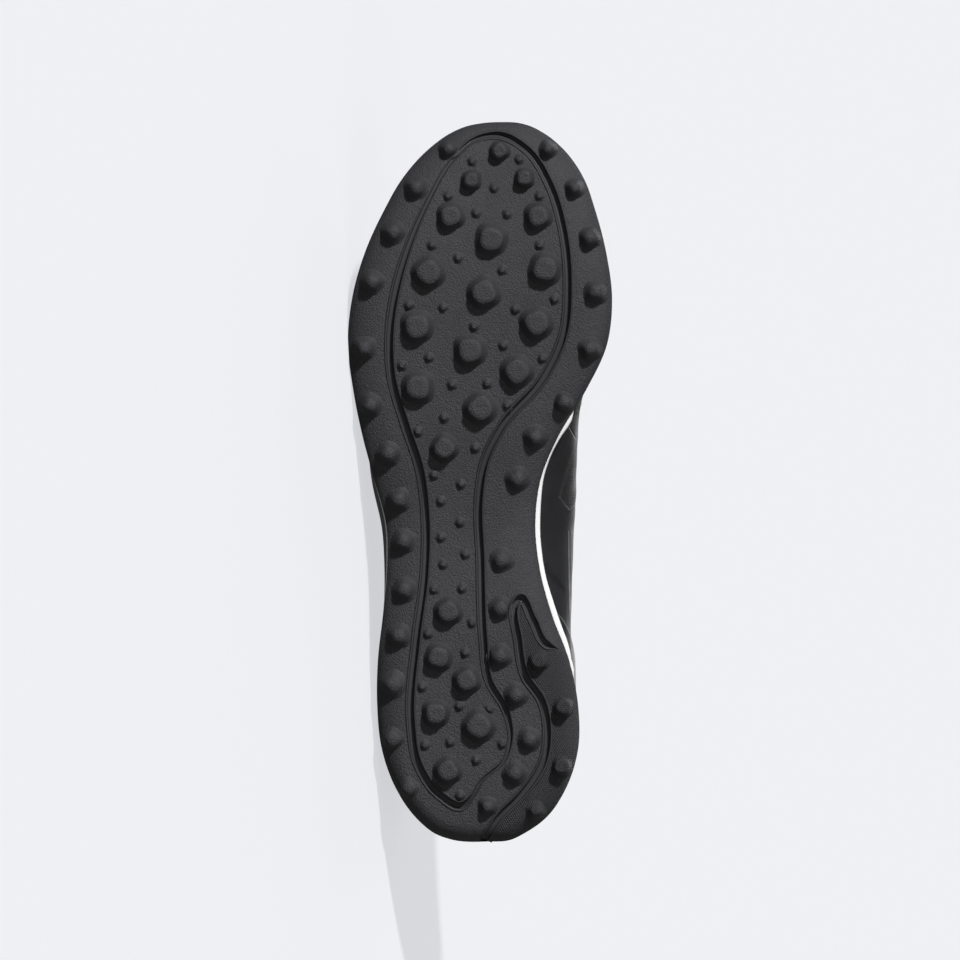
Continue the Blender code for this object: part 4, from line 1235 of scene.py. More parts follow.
    def build(self) -> Piece:
        """The underside and the lip.

        Returns:
            The piece.
        """
        shares = np.linspace(0, 1, self.rows)
        outer, outer_way = FORM.outline_at(Side.OUTER, shares)
        inner, inner_way = FORM.outline_at(Side.INNER, shares)
        across = np.linspace(0, 1, self.columns)
        across = across - 0.035 * np.sin(2 * np.pi * across)
        plan = outer[:, None] * (1 - across[None, :, None]) + inner[:, None] * across[None, :, None]
        x, y = plan[..., 0], plan[..., 1]
        z = self.plain_surface(x, y) + 1.5 * self.groove_depth * self.room(x, y, 1.9)
        points = [np.stack([x, y, z], -1).reshape(-1, 3)]
        faces = grid_faces(self.rows, self.columns)
        ring = np.concatenate([outer, inner[::-1][1:-1]])
        way = np.concatenate([outer_way, inner_way[::-1][1:-1]])
        start, count = len(points[0]), len(ring)
        top = FORM.lip_height(ring[:, 1])
        low = FORM.base_height(ring[:, 1])
        bands = ((0, 0.84), (0.0001, 0.90), (0.0002, 0.955), (0.0004, 0.99), (0.0008, 1.0), (0.0022, 1.0))
        for inset, share in (*bands, (self.cup_wall, 0.96)):
            points.append(np.column_stack([ring - way * inset, low + share * top]))
        faces += grid_faces(len(bands) + 1, count, closed=True, start=start)
        extra = np.zeros((len(bands) + 1) * count)
        values = {
            "groove": np.zeros(x.size + len(extra)),
            "pod": np.concatenate([self.in_pod(x, y).ravel(), extra]),
        }
        piece = Piece("outsole_body", np.concatenate(points), faces, **values)
        piece.join_doubles()
        return piece

    def build_grooves(self) -> Piece:
        """Both grooves: a sharp channel between two raised beads, laid over the hollows left for it.

        Returns:
            The piece.
        """
        half = np.array(self.groove_profile)
        profile = np.concatenate([half[::-1] * [-1, 1], half[1:]])
        points, faces, marks = [], [], []
        for line, closed in ((self.field_line[:-1], True), (self.pod_line, False)):
            ends = np.pad(line[:, :2], ((1, 1), (0, 0)), mode="wrap" if closed else "edge")
            ahead = unit(ends[2:] - ends[:-2])
            beside = np.stack([ahead[:, 1], -ahead[:, 0]], 1)
            width = line[:, 2, None] * self.groove_half
            start = sum(len(ring) for ring in points)
            plan = line[:, None, :2] + beside[:, None] * (width * profile[:, 0])[..., None]
            ground = self.plain_surface(plan[..., 0], plan[..., 1]) - 0.03 * MM
            z = ground - profile[:, 1] * self.groove_depth * line[:, 2, None]
            points.append(np.concatenate([plan, z[..., None]], -1).reshape(-1, 3))
            rows = grid_faces(len(line), len(profile), start=start)
            if closed:
                last, count = (len(line) - 1) * len(profile), len(profile)
                rows += [[last + c, last + c + 1, c + 1, c] for c in range(count - 1)]
            faces += rows
            # 1 on the channel and its beads: the shader takes their grain out and so paints them darker, as
            #                                 painted shade
            marks.append(np.tile(np.abs(profile[:, 0]) < 1.7, len(line)))
        points = np.concatenate(points)
        groove = np.concatenate(marks).astype(float)
        values = {"groove": groove, "pod": self.in_pod(points[:, 0], points[:, 1])}
        return Piece("outsole_grooves", points, faces, **values)

    def lug(
        self, x: float, y: float, top: float, foot: float, height: float, dome: float, segments: int
    ) -> tuple:
        """One lug, draped onto the underside.

        Args:
            x: Its place across.
            y: Its place along.
            top: Radius of its flat top.
            foot: Radius at which its flared foot ends.
            height: How far its top stands off the underside.
            dome: How round its top is, as a share of its height.
            segments: Corners round it.

        Returns:
            Its points and its faces.
        """
        radii = np.array([0.0, 0.35, 0.6, 0.72, 0.82, 0.9, 0.96, 1.0]) * top
        radii = np.concatenate([radii, top + (foot - top) * (np.arange(1, 13) / 12) ** 1.15])
        angle = np.linspace(0, 2 * np.pi, segments, endpoint=False)
        lobes = 1 + 0.035 * np.cos(4 * angle + 900 * x) + 0.03 * np.cos(3 * angle + 700 * y)
        px = x + radii[:, None] * lobes * np.cos(angle)
        py = y + radii[:, None] * lobes * np.sin(angle)
        high = float(FORM.base_height(y)) - height
        reach = np.clip((radii - top) / (foot - top), 0, 1)
        rounding = dome * np.clip((radii / top - 0.9 + 3 * dome) / (0.1 + 3 * dome), 0, 1) ** 2.4
        climb = rounding + (1 - rounding) * (1 - (1 - reach) ** self.flank_power)
        dimple = 0.10 * MM * (1 - np.clip(radii / (0.6 * top), 0, 1) ** 2) if top > 2 * MM else 0 * radii
        ground = self.plain_surface(px, py) - 0.05 * MM
        tops = high + dimple
        cut = self.room(px, py, 2.4)
        pz = tops[:, None] + (ground - tops[:, None]) * climb[:, None]
        pz = pz * (1 - cut) + (ground + 0.4 * MM) * cut
        points = np.stack([px, py, pz], -1).reshape(-1, 3)
        return points, grid_faces(len(radii), segments, closed=True)

    def build_lugs(self) -> Piece:
        """All lugs and nubs, as one mesh.

        Returns:
            The piece.
        """
        full, rim = (self.lug_flare, self.lug_dome), (self.rim_flare, self.rim_dome)
        points, faces = [], []
        count = 0
        places = []
        for along, across, table_top, share in self.lugs:
            flare, dome = full if share == 1 else rim
            top, height = table_top * self.lug_top_share, FORM.lug_height * share
            places.append((*FORM.on_plan(along, across), top, top * flare, height, dome, self.lug_segments))
        nub = (self.nub_top, self.nub_foot, self.nub_height, self.nub_dome, self.nub_segments)
        for px, py in self.nubs:
            places.append((*(MM * np.array(from_photo(px, py))), *nub))
        for x, y, top, foot, *others in places:
            edge = float(distances(self.edge, np.array([x]), np.array([y]))[0])
            more, more_faces = self.lug(x, y, top, min(foot, 0.93 * edge), *others)
            points.append(more)
            faces += [[corner + count for corner in face] for face in more_faces]
            count += len(more)
        points = np.concatenate(points)
        values = {"groove": np.zeros(len(points)), "pod": self.in_pod(points[:, 0], points[:, 1])}
        piece = Piece("outsole_lugs", points, faces, **values)
        piece.join_doubles(0.002 * MM)
        return piece

    def dress(self, finishes: Finishes) -> None:
        """Builds the three pieces and gives them their finish.

        Args:
            finishes: The shoe's finishes.
        """
        self.build().dress("outsole_rubber", finishes.rubber, replaces=("outsole",), sharp=60)
        self.build_grooves().dress("outsole_rubber", finishes.rubber, sharp=80)
        self.build_lugs().dress("outsole_rubber", finishes.rubber, sharp=70)


@dataclass
class Midsole:
    """The white foam between rubber and upper."""

    # along, how far the foam stands out past the rubber on the inner side
    strip: tuple = (
        (0.000, -0.0009),
        (0.190, -0.0009),
        (0.224, -0.0002),
        (0.238, 0.0008),
        (0.252, 0.0010),
        (0.266, 0.0015),
        (0.300, 0.0020),
        (0.335, 0.0020),
        (0.370, 0.0017),
        (0.411, 0.0018),
        (0.474, 0.0016),
        (0.502, 0.0010),
        (0.523, 0.0007),
        (0.543, 0.0006),
        (0.564, 0.0010),
        (0.578, 0.0015),
        (0.588, 0.0013),
        (0.596, 0.0003),
        (0.604, -0.0009),
        (1.000, -0.0009),
    )
    columns: int = 520
    cup_wall: float = 0.0026

    def build(self) -> Piece:
        """Rings from inside the rubber cup, out over the lip and up to the feather edge.

        Returns:
            The piece.
        """
        shares = np.arange(self.columns + 1) / self.columns
        outer, outer_way = FORM.outline_at(Side.OUTER, shares)
        inner, inner_way = FORM.outline_at(Side.INNER, shares[1:-1][::-1])
        ring, way = np.concatenate([outer, inner]), np.concatenate([outer_way, inner_way])
        y = ring[:, 1]
        on_inner = np.arange(len(ring)) > self.columns
        feather = np.where(on_inner, FORM.foam_edge(Side.INNER, y), FORM.foam_edge(Side.OUTER, y))
        edge = np.where(on_inner, -FORM.column(self.strip, 1, FORM.share(y)), feather)
        low = FORM.lip_top(y) + FORM.clearance
        high = FORM.bed_height(y)
        tall = high - low
        wall = self.cup_wall + FORM.clearance
        profile = (
            (wall, low - 0.0016),
            (wall, low - 0.0002),
            (np.maximum(edge + 0.0007, -0.0008), low),
            (edge + 0.0002, low + 0.0003),
            (edge, low + 0.0009),
            (edge - 0.0001, low + 0.35 * tall),
            (edge, low + 0.62 * tall),
            (edge + 0.0002, low + 0.85 * tall),
            (edge + 0.0006, high - 0.0004),
            (edge + 0.0013, high - 0.0001),
            (np.maximum(feather, edge) + FORM.feather_ledge, high),
            (feather + 0.0110, high),
        )
        insets = [(np.broadcast_to(inset, len(ring))[:, None], z) for inset, z in profile]
        points = np.concatenate([np.column_stack([ring - way * inset, z]) for inset, z in insets])
        count = len(ring)
        faces = grid_faces(len(profile), count, closed=True)
        start, half = (len(profile) - 1) * count, count // 2
        for column in range(half):
            strip = [column, column + 1, count - column - 1, (count - column) % count]
            faces.append([start + corner for corner in dict.fromkeys(strip)])
        piece = Piece("midsole_body", points, faces)
        piece.join_doubles(0.002 * MM)
        return piece

    def dress(self, finishes: Finishes) -> None:
        """Builds it and gives it its finish."""
        self.build().dress("midsole_foam", finishes.foam, replaces=("midsole",), sharp=60)


@dataclass
class Insole:
    """The footbed that shows through the collar."""

    columns: int = 120
    across: int = 30
    thickness: float = 0.0040
    wall: float = 0.0020
    gap: float = 0.0009

    def build(self) -> Piece:
        """A slightly dished top with a rounded edge.

        Returns:
            The piece.
        """
        shares = np.linspace(0, 1, self.columns)
        sides = []
        for side in Side:
            plan, way = FORM.outline_at(side, shares)
            inset = FORM.foam_edge(side, plan[:, 1]) + FORM.feather_ledge + self.wall + self.gap
            sides.append(plan - way * inset[:, None])
        t = np.linspace(0, 1, self.across)
        plan = sides[0][:, None] * (1 - t[None, :, None]) + sides[1][:, None] * t[None, :, None]
        width = np.linalg.norm(sides[0] - sides[1], axis=1)
        from_edge = np.minimum(t, 1 - t)[None, :] * width[:, None]
        bed = FORM.bed_height(plan[..., 1]) + FORM.clearance
        round_edge = soft_step(0, 1.6 * MM, from_edge)
        dish = 0.7 * MM * soft_step(0.004, 0.020, from_edge)
        z = bed + self.thickness * round_edge - dish
        points = np.concatenate([plan, z[..., None]], -1).reshape(-1, 3)
        cloth = np.column_stack([points[:, 0] / MM, points[:, 1] / MM, np.zeros(len(points))])
        piece = Piece("insole_body", points, grid_faces(self.columns, self.across), cloth_mm=cloth)
        piece.join_doubles(0.002 * MM)
        piece.face_away(np.array([0, 0.14, 0]))
        return piece

    def dress(self, finishes: Finishes) -> None:
        """Builds it and gives it its finish."""
        self.build().dress("insole_textile", finishes.footbed, replaces=("insole",))


@dataclass
class Upper:
    """The hollow upper with its folds, its padded collar, and the layers laid on it."""

    columns: int = 100
    rows: int = 36
    wall: float = 0.0020
    collar_pad: float = 0.0050
    overlay: float = 0.0011
    counter_front: float = 0.345
    counter_back: float = 0.12
    counter_top: float = 0.60
    eyestay_low: float = 0.76
    eyestay_front: float = 0.74
    eyestay_round: float = 0.20
    eyelet_row: float = 0.915
    eyelet_pairs: int = 6
    # side, way round, height, slant, length round, width up, depth in mm: soft folds pressed in by walking
    folds: tuple = (
        (None, 0.715, 1.00, 0.00, 0.012, 0.55, -0.8),
        (None, 0.745, 1.00, 0.00, 0.012, 0.50, -0.7),
        (None, 0.730, 1.00, 0.00, 0.010, 0.55, 0.5),
        (Side.INNER, 0.665, 0.62, 0.06, 0.012, 0.30, -0.9),
        (Side.INNER, 0.640, 0.50, 0.06, 0.012, 0.25, -0.6),
        (Side.OUTER, 0.665, 0.62, 0.06, 0.012, 0.30, -0.8),
        (Side.INNER, 0.558, 0.42, -0.05, 0.008, 0.22, 0.5),
        (Side.INNER, 0.540, 0.42, -0.05, 0.007, 0.22, -0.4),
        (Side.INNER, 0.575, 0.42, -0.05, 0.009, 0.22, 0.5),
        (Side.INNER, 0.470, 0.36, 0.04, 0.006, 0.16, -0.4),
        (Side.INNER, 0.395, 0.34, 0.03, 0.012, 0.16, 0.2),
        (Side.OUTER, 0.520, 0.40, -0.03, 0.010, 0.20, -0.7),
        (Side.INNER, 0.180, 0.80, 0.05, 0.014, 0.14, -0.9),
        (Side.OUTER, 0.180, 0.80, 0.05, 0.014, 0.14, -0.9),
        (Side.INNER, 0.240, 0.74, 0.05, 0.016, 0.14, -0.7),
        (Side.OUTER, 0.240, 0.74, 0.05, 0.016, 0.14, -0.7),
    )
    # about how many millimetres it is round one side of the wall, and up it at throat, heel and overall
    round_mm: float = 330
    throat_tall_mm: float = 75
    heel_tall_mm: float = 85
    tall_mm: float = 90
    # pixels in the photograph: the woven corner of the inner waist
    woven_corner: tuple = ((577, 441), (569, 459), (565, 472), (560, 498), (569, 512), (582, 512), (582, 441))
    # way round, height: the front edge of the quarter panel
    quarter_edge: tuple = ((0.56, 0.00), (0.60, 0.18), (0.615, 0.40), (0.625, 0.62), (0.66, 0.80))

    def eyelets(self) -> np.ndarray:
        """Places of the eyelets round the wall, from the collar's end to the front."""
        return np.linspace(FORM.collar_front + 0.042, FORM.throat_front - 0.045, self.eyelet_pairs)

    def fold_lift(self, side: Side, u: np.ndarray, v: np.ndarray) -> np.ndarray:
        """How far the folds press in or stand out.

        Args:
            side: The half.
            u: Shares of the way round from heel to toe.
            v: Shares of the way from the sole to the top edge.

        Returns:
            The lifts in metres, negative where a fold is pressed in.
        """
        lift = np.zeros(np.broadcast(u, v).shape)
        for on_side, place, height, slant, length, width, depth in self.folds:
            if on_side in (None, side):
                along = (u - place - slant * (v - height)) / length
                up = (v - height) / width
                lift += depth * MM * np.exp(-(along**2) - up**2)
        fade = soft_step(0.03, 0.12, v)
        return lift * fade

    def padding(self, points: np.ndarray) -> np.ndarray:
        """Thickness of the wall: thick foam along the collar, thin everywhere else.

        Args:
            points: Standing points on the upper.

        Returns:
            The thicknesses.
        """
        front = float(FORM.column(FORM.sections, 1, FORM.collar_front)) * FORM.length
        back = np.clip((front - points[:, 1]) / (0.16 * FORM.length), 0, 1)
        height = np.clip((points[:, 2] / FORM.collar_height - 0.50) / 0.14, 0, 1)
        return self.wall + (self.collar_pad - self.wall) * back * height

    def skin(self) -> Piece:
        """The upper's shell, with folds, collar roll and panel marks.

        Returns:
            The piece.
        """
        u = np.linspace(0, 1, self.columns + 1)
        v = np.linspace(0, 1, self.rows + 1)
        points, faces, cloth, knit, seam = [], [], [], [], []
        edge = np.array(self.quarter_edge)
        for side in Side:
            grid_u, grid_v = np.meshgrid(u, v, indexing="ij")
            grid = FORM.off_wall(side, grid_u, grid_v, self.fold_lift(side, grid_u, grid_v))
            ends = np.isclose(grid_u, 0) | np.isclose(grid_u, 1)
            grid[ends] = FORM.wall(side, grid_u, grid_v)[ends]
            ridge = (grid_u >= FORM.throat_front) & np.isclose(grid_v, 1)
            grid[ridge, 0] = FORM.wall(side, grid_u, grid_v)[ridge, 0]
            start = side.value * grid_u.size
            faces += grid_faces(self.columns + 1, self.rows + 1, start=start)
            points.append(grid.reshape(-1, 3))
            tall = np.linalg.norm(np.diff(grid, axis=1), axis=2).cumsum(1)
            tall = np.concatenate([np.zeros((len(u), 1)), tall], 1)
            cloth.append(np.stack([grid_u * self.round_mm, tall / MM, 0 * tall], -1).reshape(-1, 3))
            front = np.interp(grid_v, edge[:, 1], edge[:, 0])
            behind = (front - grid_u) * self.round_mm
            high = (grid_v - 0.30) * 60
            ahead = (grid_u - 0.30) * self.round_mm
            woven = soft_step(-0.5, 0.5, np.minimum(np.minimum(behind, high), ahead))
            if side is Side.INNER:
                corners = np.array([from_photo(px, py) for px, py in self.woven_corner]) * MM
                patch = inside_loop(corners, grid[..., 0], grid[..., 1]) & (grid_v < 0.5)
                woven = np.maximum(woven, 0.55 * patch)
            knit.append(woven.ravel())
            seam.append(np.exp(-((behind / 0.5) ** 2)).ravel() * (grid_v.ravel() < 0.99))
        points = np.concatenate(points)
        values = {
            "cloth_mm": np.concatenate(cloth),
            "knit": np.concatenate(knit),
            "seam": np.concatenate(seam),
        }
        piece = Piece("upper_body", points, faces, **values)
        piece.join_doubles(0.002 * MM)
        piece.face_away(np.array([0, 0.14, 0.03]))
        mesh = piece.item.data
        store = np.zeros(len(mesh.vertices) * 3, np.float32)
        mesh.attributes["stand_mm"].data.foreach_get("vector", store)
        piece.pad(self.padding(store.reshape(-1, 3) * MM) / self.collar_pad)
        mesh.materials.append(None)
        mesh.materials.append(None)
        piece.add_modifier(
            "SOLIDIFY",
            thickness=self.collar_pad,
            offset=-1,
            vertex_group="padding",
            material_offset=1,
            material_offset_rim=1,
        )
        piece.add_modifier("SUBSURF", levels=1, render_levels=1)
        piece.apply_modifiers()
        return piece

    def layer(
        self, name: str, side_of: np.ndarray, u: np.ndarray, v: np.ndarray, edge_mm: np.ndarray
    ) -> Piece:
        """A thin layer on the upper that thins out at its edges.

        Args:
            name: The piece's name.
            side_of: +1 where a grid place is on the outer side and -1 on the inner one.
            u: Places round the wall.
            v: Places up the wall.
            edge_mm: Distance to the layer's edge, in millimetres.

        Returns:
            The piece.
        """
        lift = -0.25 * MM + (self.overlay + 0.25 * MM) * soft_step(0, 0.9, edge_mm) ** 0.6
        points = np.zeros((*u.shape, 3))
        for side in Side:
            here = side_of == side.turn
            folds = self.fold_lift(side, u, v)
            points[here] = FORM.off_wall(side, u, v, lift + folds)[here]
        cloth = np.stack([u * self.round_mm, v * self.tall_mm, 0 * u], -1).reshape(-1, 3)
        marks = {"cloth_mm": cloth, "knit": np.zeros(u.size), "seam": np.zeros(u.size)}
        piece = Piece(name, points.reshape(-1, 3), grid_faces(*u.shape), **marks)
        piece.join_doubles(0.002 * MM)
        piece.face_away(np.array([0, float(points[..., 1].mean()), 0.03]))
        return piece

    def eyestay(self) -> Piece:
        """The layer round the throat that carries the eyelets.

        Returns:
            The piece.
        """
        a = np.linspace(0, 1, 120)
        b = np.linspace(0, 1, 26)
        b = np.concatenate([b, 2 - b[::-1][1:]])
        grid_a, grid_b = np.meshgrid(a, b, indexing="ij")
        side_of = np.where(grid_b <= 1, 1, -1)
        v = self.eyestay_low + (1 - self.eyestay_low) * (1 - np.abs(1 - grid_b))
        front = self.eyestay_front - self.eyestay_round * (1 - v) ** 1.15
        u = FORM.collar_front + 0.004 + grid_a * (front - FORM.collar_front - 0.004)
        edge = np.minimum((v - self.eyestay_low) * self.throat_tall_mm, (front - u) * self.round_mm)
        edge = np.minimum(edge, (u - FORM.collar_front - 0.004) * self.round_mm)
        return self.layer("eyestay_body", side_of, u, v, edge)

    def throat_bridge(self, piece: Piece) -> None:
        """Takes out the faces that would close the throat between the two sides of the eyestay."""
        piece.take_out(lambda face: max(edge.calc_length() for edge in face.edges) > 6 * MM)

    def counter(self) -> Piece:
        """The layer round the heel.

        Returns:
            The piece.
        """
        a = np.linspace(-1, 1, 150)
        b = np.linspace(0, 1, 44)
        grid_a, grid_b = np.meshgrid(a, b, indexing="ij")
        v = self.counter_top * grid_b
        reach = self.counter_front - (self.counter_front - self.counter_back) * grid_b**1.2
        reach = reach - 0.03 * soft_step(0.8, 1.0, grid_b)
        u = np.abs(grid_a) * reach
        edge = np.minimum((self.counter_top - v) * self.heel_tall_mm, (reach - u) * self.round_mm)
        return self.layer("heel_counter_body", np.where(grid_a < 0, 1, -1), u, v, edge)

    def eyelet_rims(self) -> Piece:
        """Pressed rims round the eyelets, each with a short tube through the wall.

        Returns:
            The piece.
        """
        # radius and height in mm: the rounded rim, then the tube
        profile = [(3.3, 0.9), (3.1, 1.25), (2.75, 1.45), (2.4, 1.35), (2.15, 1.0)]
        profile = np.array([*profile, (2.05, 0.2), (2.05, -2.4)])
        angle = np.linspace(0, 2 * np.pi, 28, endpoint=False)
        points, faces = [], []
        for side in Side:
            for share in self.eyelets():
                place = FORM.wall(side, share, self.eyelet_row)
                axis = FORM.wall_normal(side, share, self.eyelet_row)
                across = unit(np.cross(axis, [0, 1, 0]))
                ahead = np.cross(axis, across)
                ring = np.cos(angle)[:, None] * across + np.sin(angle)[:, None] * ahead
                for radius, lift in profile * MM:
                    points.append(place + ring * radius + axis * lift)
                faces += grid_faces(len(profile), len(angle), True, (len(points) - len(profile)) * len(angle))
        points = np.concatenate(points)
        zero = np.zeros(len(points))
        marks = {"cloth_mm": np.zeros((len(points), 3)), "knit": zero, "seam": zero}
        return Piece("eyelet_rims", points, faces, **marks)

    def stitch_rows(self) -> list:
        """Lines that the stitching follows, each as side, places round and up the wall, and lift.

        Returns:
            The rows.
        """
        rows = []
        for side in Side:
            v = np.linspace(self.eyestay_low, 1, 120)
            front = self.eyestay_front - self.eyestay_round * (1 - v) ** 1.15 - 0.009
            u = np.linspace(FORM.collar_front + 0.012, front[0], 260)
            low = np.full(260, self.eyestay_low + 0.028)
            keep = v > self.eyestay_low + 0.03
            u, v = np.concatenate([u, front[keep]]), np.concatenate([low, v[keep]])
            rows.append((side, u, v, self.overlay))
            edge = np.array(self.quarter_edge)
            v = np.linspace(0.05, 0.74, 160)
            u = np.interp(v, edge[:, 1], edge[:, 0]) - 0.007
            rows.append((side, u, v, 0.0))
            b = np.linspace(0.03, 0.93, 160)
            reach = self.counter_front - (self.counter_front - self.counter_back) * b**1.2
            low = self.overlay - 0.25 * MM
            rows.append((side, reach - 0.010 - 0.03 * soft_step(0.8, 1.0, b), self.counter_top * b, low))
            u = np.linspace(0.02, FORM.collar_front - 0.01, 240)
            rows.append((side, u, np.full(240, 0.93), 0.0))
        return rows

    def stitches(self, pitch: float = 0.0030, length: float = 0.0021, radius: float = 0.00026) -> Piece:
        """All stitches, each a short rounded thread that dips at both ends.

        Args:
            pitch: Distance between stitches.
            length: Length of each.
            radius: Thickness of the thread, halved.

        Returns:
            One piece with all of them.
        """
        angle = np.linspace(0, 2 * np.pi, 6, endpoint=False)
        spots = np.array([(-0.5, -1.2), (-0.32, -0.25), (0.0, 0.05), (0.32, -0.25), (0.5, -1.2)])
        points, faces = [], []
        for side, u, v, lift in self.stitch_rows():
            line = FORM.off_wall(side, u, v, lift + self.fold_lift(side, u, v))
            normal = FORM.wall_normal(side, u, v)
            along = run_lengths(line)
            at = np.arange(pitch, along[-1] - pitch, pitch)
            middles, ups, heads = (
                np.stack([np.interp(at, along, values[:, axis]) for axis in range(3)], 1)
                for values in (line, normal, np.gradient(line, axis=0))
            )
            ups, heads = unit(ups), unit(heads)
            for middle, up, head in zip(middles, ups, heads):
                beside = np.cross(up, head)
                start = len(points) * len(angle)
                for step, rise in spots:
                    thick = radius * (1.0 if abs(step) < 0.45 else 0.7)
                    ring = np.cos(angle)[:, None] * beside + np.sin(angle)[:, None] * up
                    points.append(middle + head * step * length + up * rise * radius * 1.2 + ring * thick)
                faces += grid_faces(len(spots), len(angle), True, start)
        return Piece("stitching", np.concatenate(points), faces)

    def dress(self, finishes: Finishes) -> None:
        """Builds the upper and what is laid on it, and gives each its finish.

        Args:
            finishes: The shoe's finishes.
        """
        places = [FORM.wall(side, share, self.eyelet_row) for side in Side for share in self.eyelets()]
        skin = self.skin()
        skin.cut_holes(places, 2.3 * MM)
        skin.dress("upper_leather", finishes.leather, finishes.lining, replaces=("upper",), sharp=75)
        stay = self.eyestay()
        self.throat_bridge(stay)
        stay.cut_holes(places, 2.6 * MM)
        stay.dress("overlay_film", finishes.film, replaces=("eyestay",), sharp=80)
        self.counter().dress("overlay_film", finishes.film, replaces=("heel_counter",), sharp=80)
        self.eyelet_rims().dress("overlay_film", finishes.film, sharp=80)
        self.stitches().dress("upper_leather", finishes.thread, sharp=80)


@dataclass
class Tongue:
    """The padded tongue under the throat."""

    wall: float = 0.0020
    gap: float = 0.0011
    rise: float = 0.026
    thickness: float = 0.0045
    front_thickness: float = 0.0020
    points_across: int = 23
    # rise past the collar, width left
    free: tuple = ((1.0, 0.74), (0.95, 0.80), (0.86, 0.84), (0.6, 0.86), (0.3, 0.89))

    def section(self, u: float) -> np.ndarray:
        """One section of the outer face, from the outer side to the inner one.

        Args:
            u: Its place round the wall.

        Returns:
            Its points.
        """
        heights = np.array([0.88, 0.92, 0.96, 0.985])
        depth = -(self.wall + self.gap)
        outer, inner = (FORM.off_wall(side, np.full(4, u), heights, np.full(4, depth)) for side in Side)
        middle = (outer[-1] + inner[-1]) / 2
        width = np.linalg.norm(outer[-1] - inner[-1]) / 2
        lean = float(FORM.column(FORM.sections, 5, u))
        crown = width * math.tan(math.radians(90 - lean) / 2)
        t = np.linspace(-1, 1, 11)[1:-1, None]
        arch = middle + (inner[-1] - middle) * t + np.array([0, 0, crown]) * (1 - t * t)
        parts = (outer, arch, inner[::-1]) if u < FORM.throat_front else (outer, inner[::-1])
        return even_line(np.concatenate(parts), self.points_across)

    def build(self) -> Piece:
        """The tongue, thick at the top and thin where it is sewn in, with a pressed border.

        Returns:
            The piece.
        """
        places = np.linspace(0.4667, 0.7333, 34)
        sections = [self.section(float(u)) for u in places]
        first = sections[0]
        slope = first.mean(0) - sections[2].mean(0)
        way_up = unit(np.array([0, slope[1], slope[2] + np.linalg.norm(slope) * 0.35]))
        middle = first.mean(0)
        for rise, width in reversed(self.free):
            section = first + way_up * rise * self.rise
            section[:, 0] = middle[0] + (section[:, 0] - middle[0]) * width
            sections.insert(0, section)
        grid = np.array(sections)
        count, across = grid.shape[:2]
        cloth = np.zeros((count, across, 3))
        cloth[..., 0] = np.linspace(-20, 20, across)[None, :]
        cloth[..., 1] = run_lengths(grid[:, across // 2])[:, None] / MM
        places_mm = cloth.reshape(-1, 3)
        piece = Piece("tongue_body", grid.reshape(-1, 3), grid_faces(count, across), cloth_mm=places_mm)
        piece.face_away(np.array([0, 0.14, 0.03]))
        along = np.repeat(np.linspace(1, 0, count), across)
        from_side = np.minimum(np.arange(across), np.arange(across)[::-1])
        border = np.minimum(np.tile(from_side, count), np.repeat(np.arange(count), across))
        soft = 0.55 + 0.45 * soft_step(0, 3.5, border) - 0.25 * np.exp(-(((border - 2) / 0.8) ** 2))
        thick = (self.front_thickness + (self.thickness - self.front_thickness) * along) / self.thickness
        piece.pad(thick * np.clip(soft, 0.2, 1))
        piece.add_modifier("SOLIDIFY", thickness=self.thickness, offset=-1, vertex_group="padding")
        piece.add_modifier("SUBSURF", levels=2, render_levels=2)
        piece.apply_modifiers()
        return piece

    def dress(self, finishes: Finishes) -> None:
        """Builds it and gives it its finish.

        Args:
            finishes: The shoe's finishes.
        """
        piece = self.build()
        piece.dress("tongue_textile", finishes.lining, replaces=("tongue",), sharp=80)


class LaceEnd(Enum):
    """How a run of lace ends at its eyelet."""

    UP_THROUGH = "comes up through the eyelet and runs over the eyestay"
    UNDER = "stays under the edge of the eyestay"


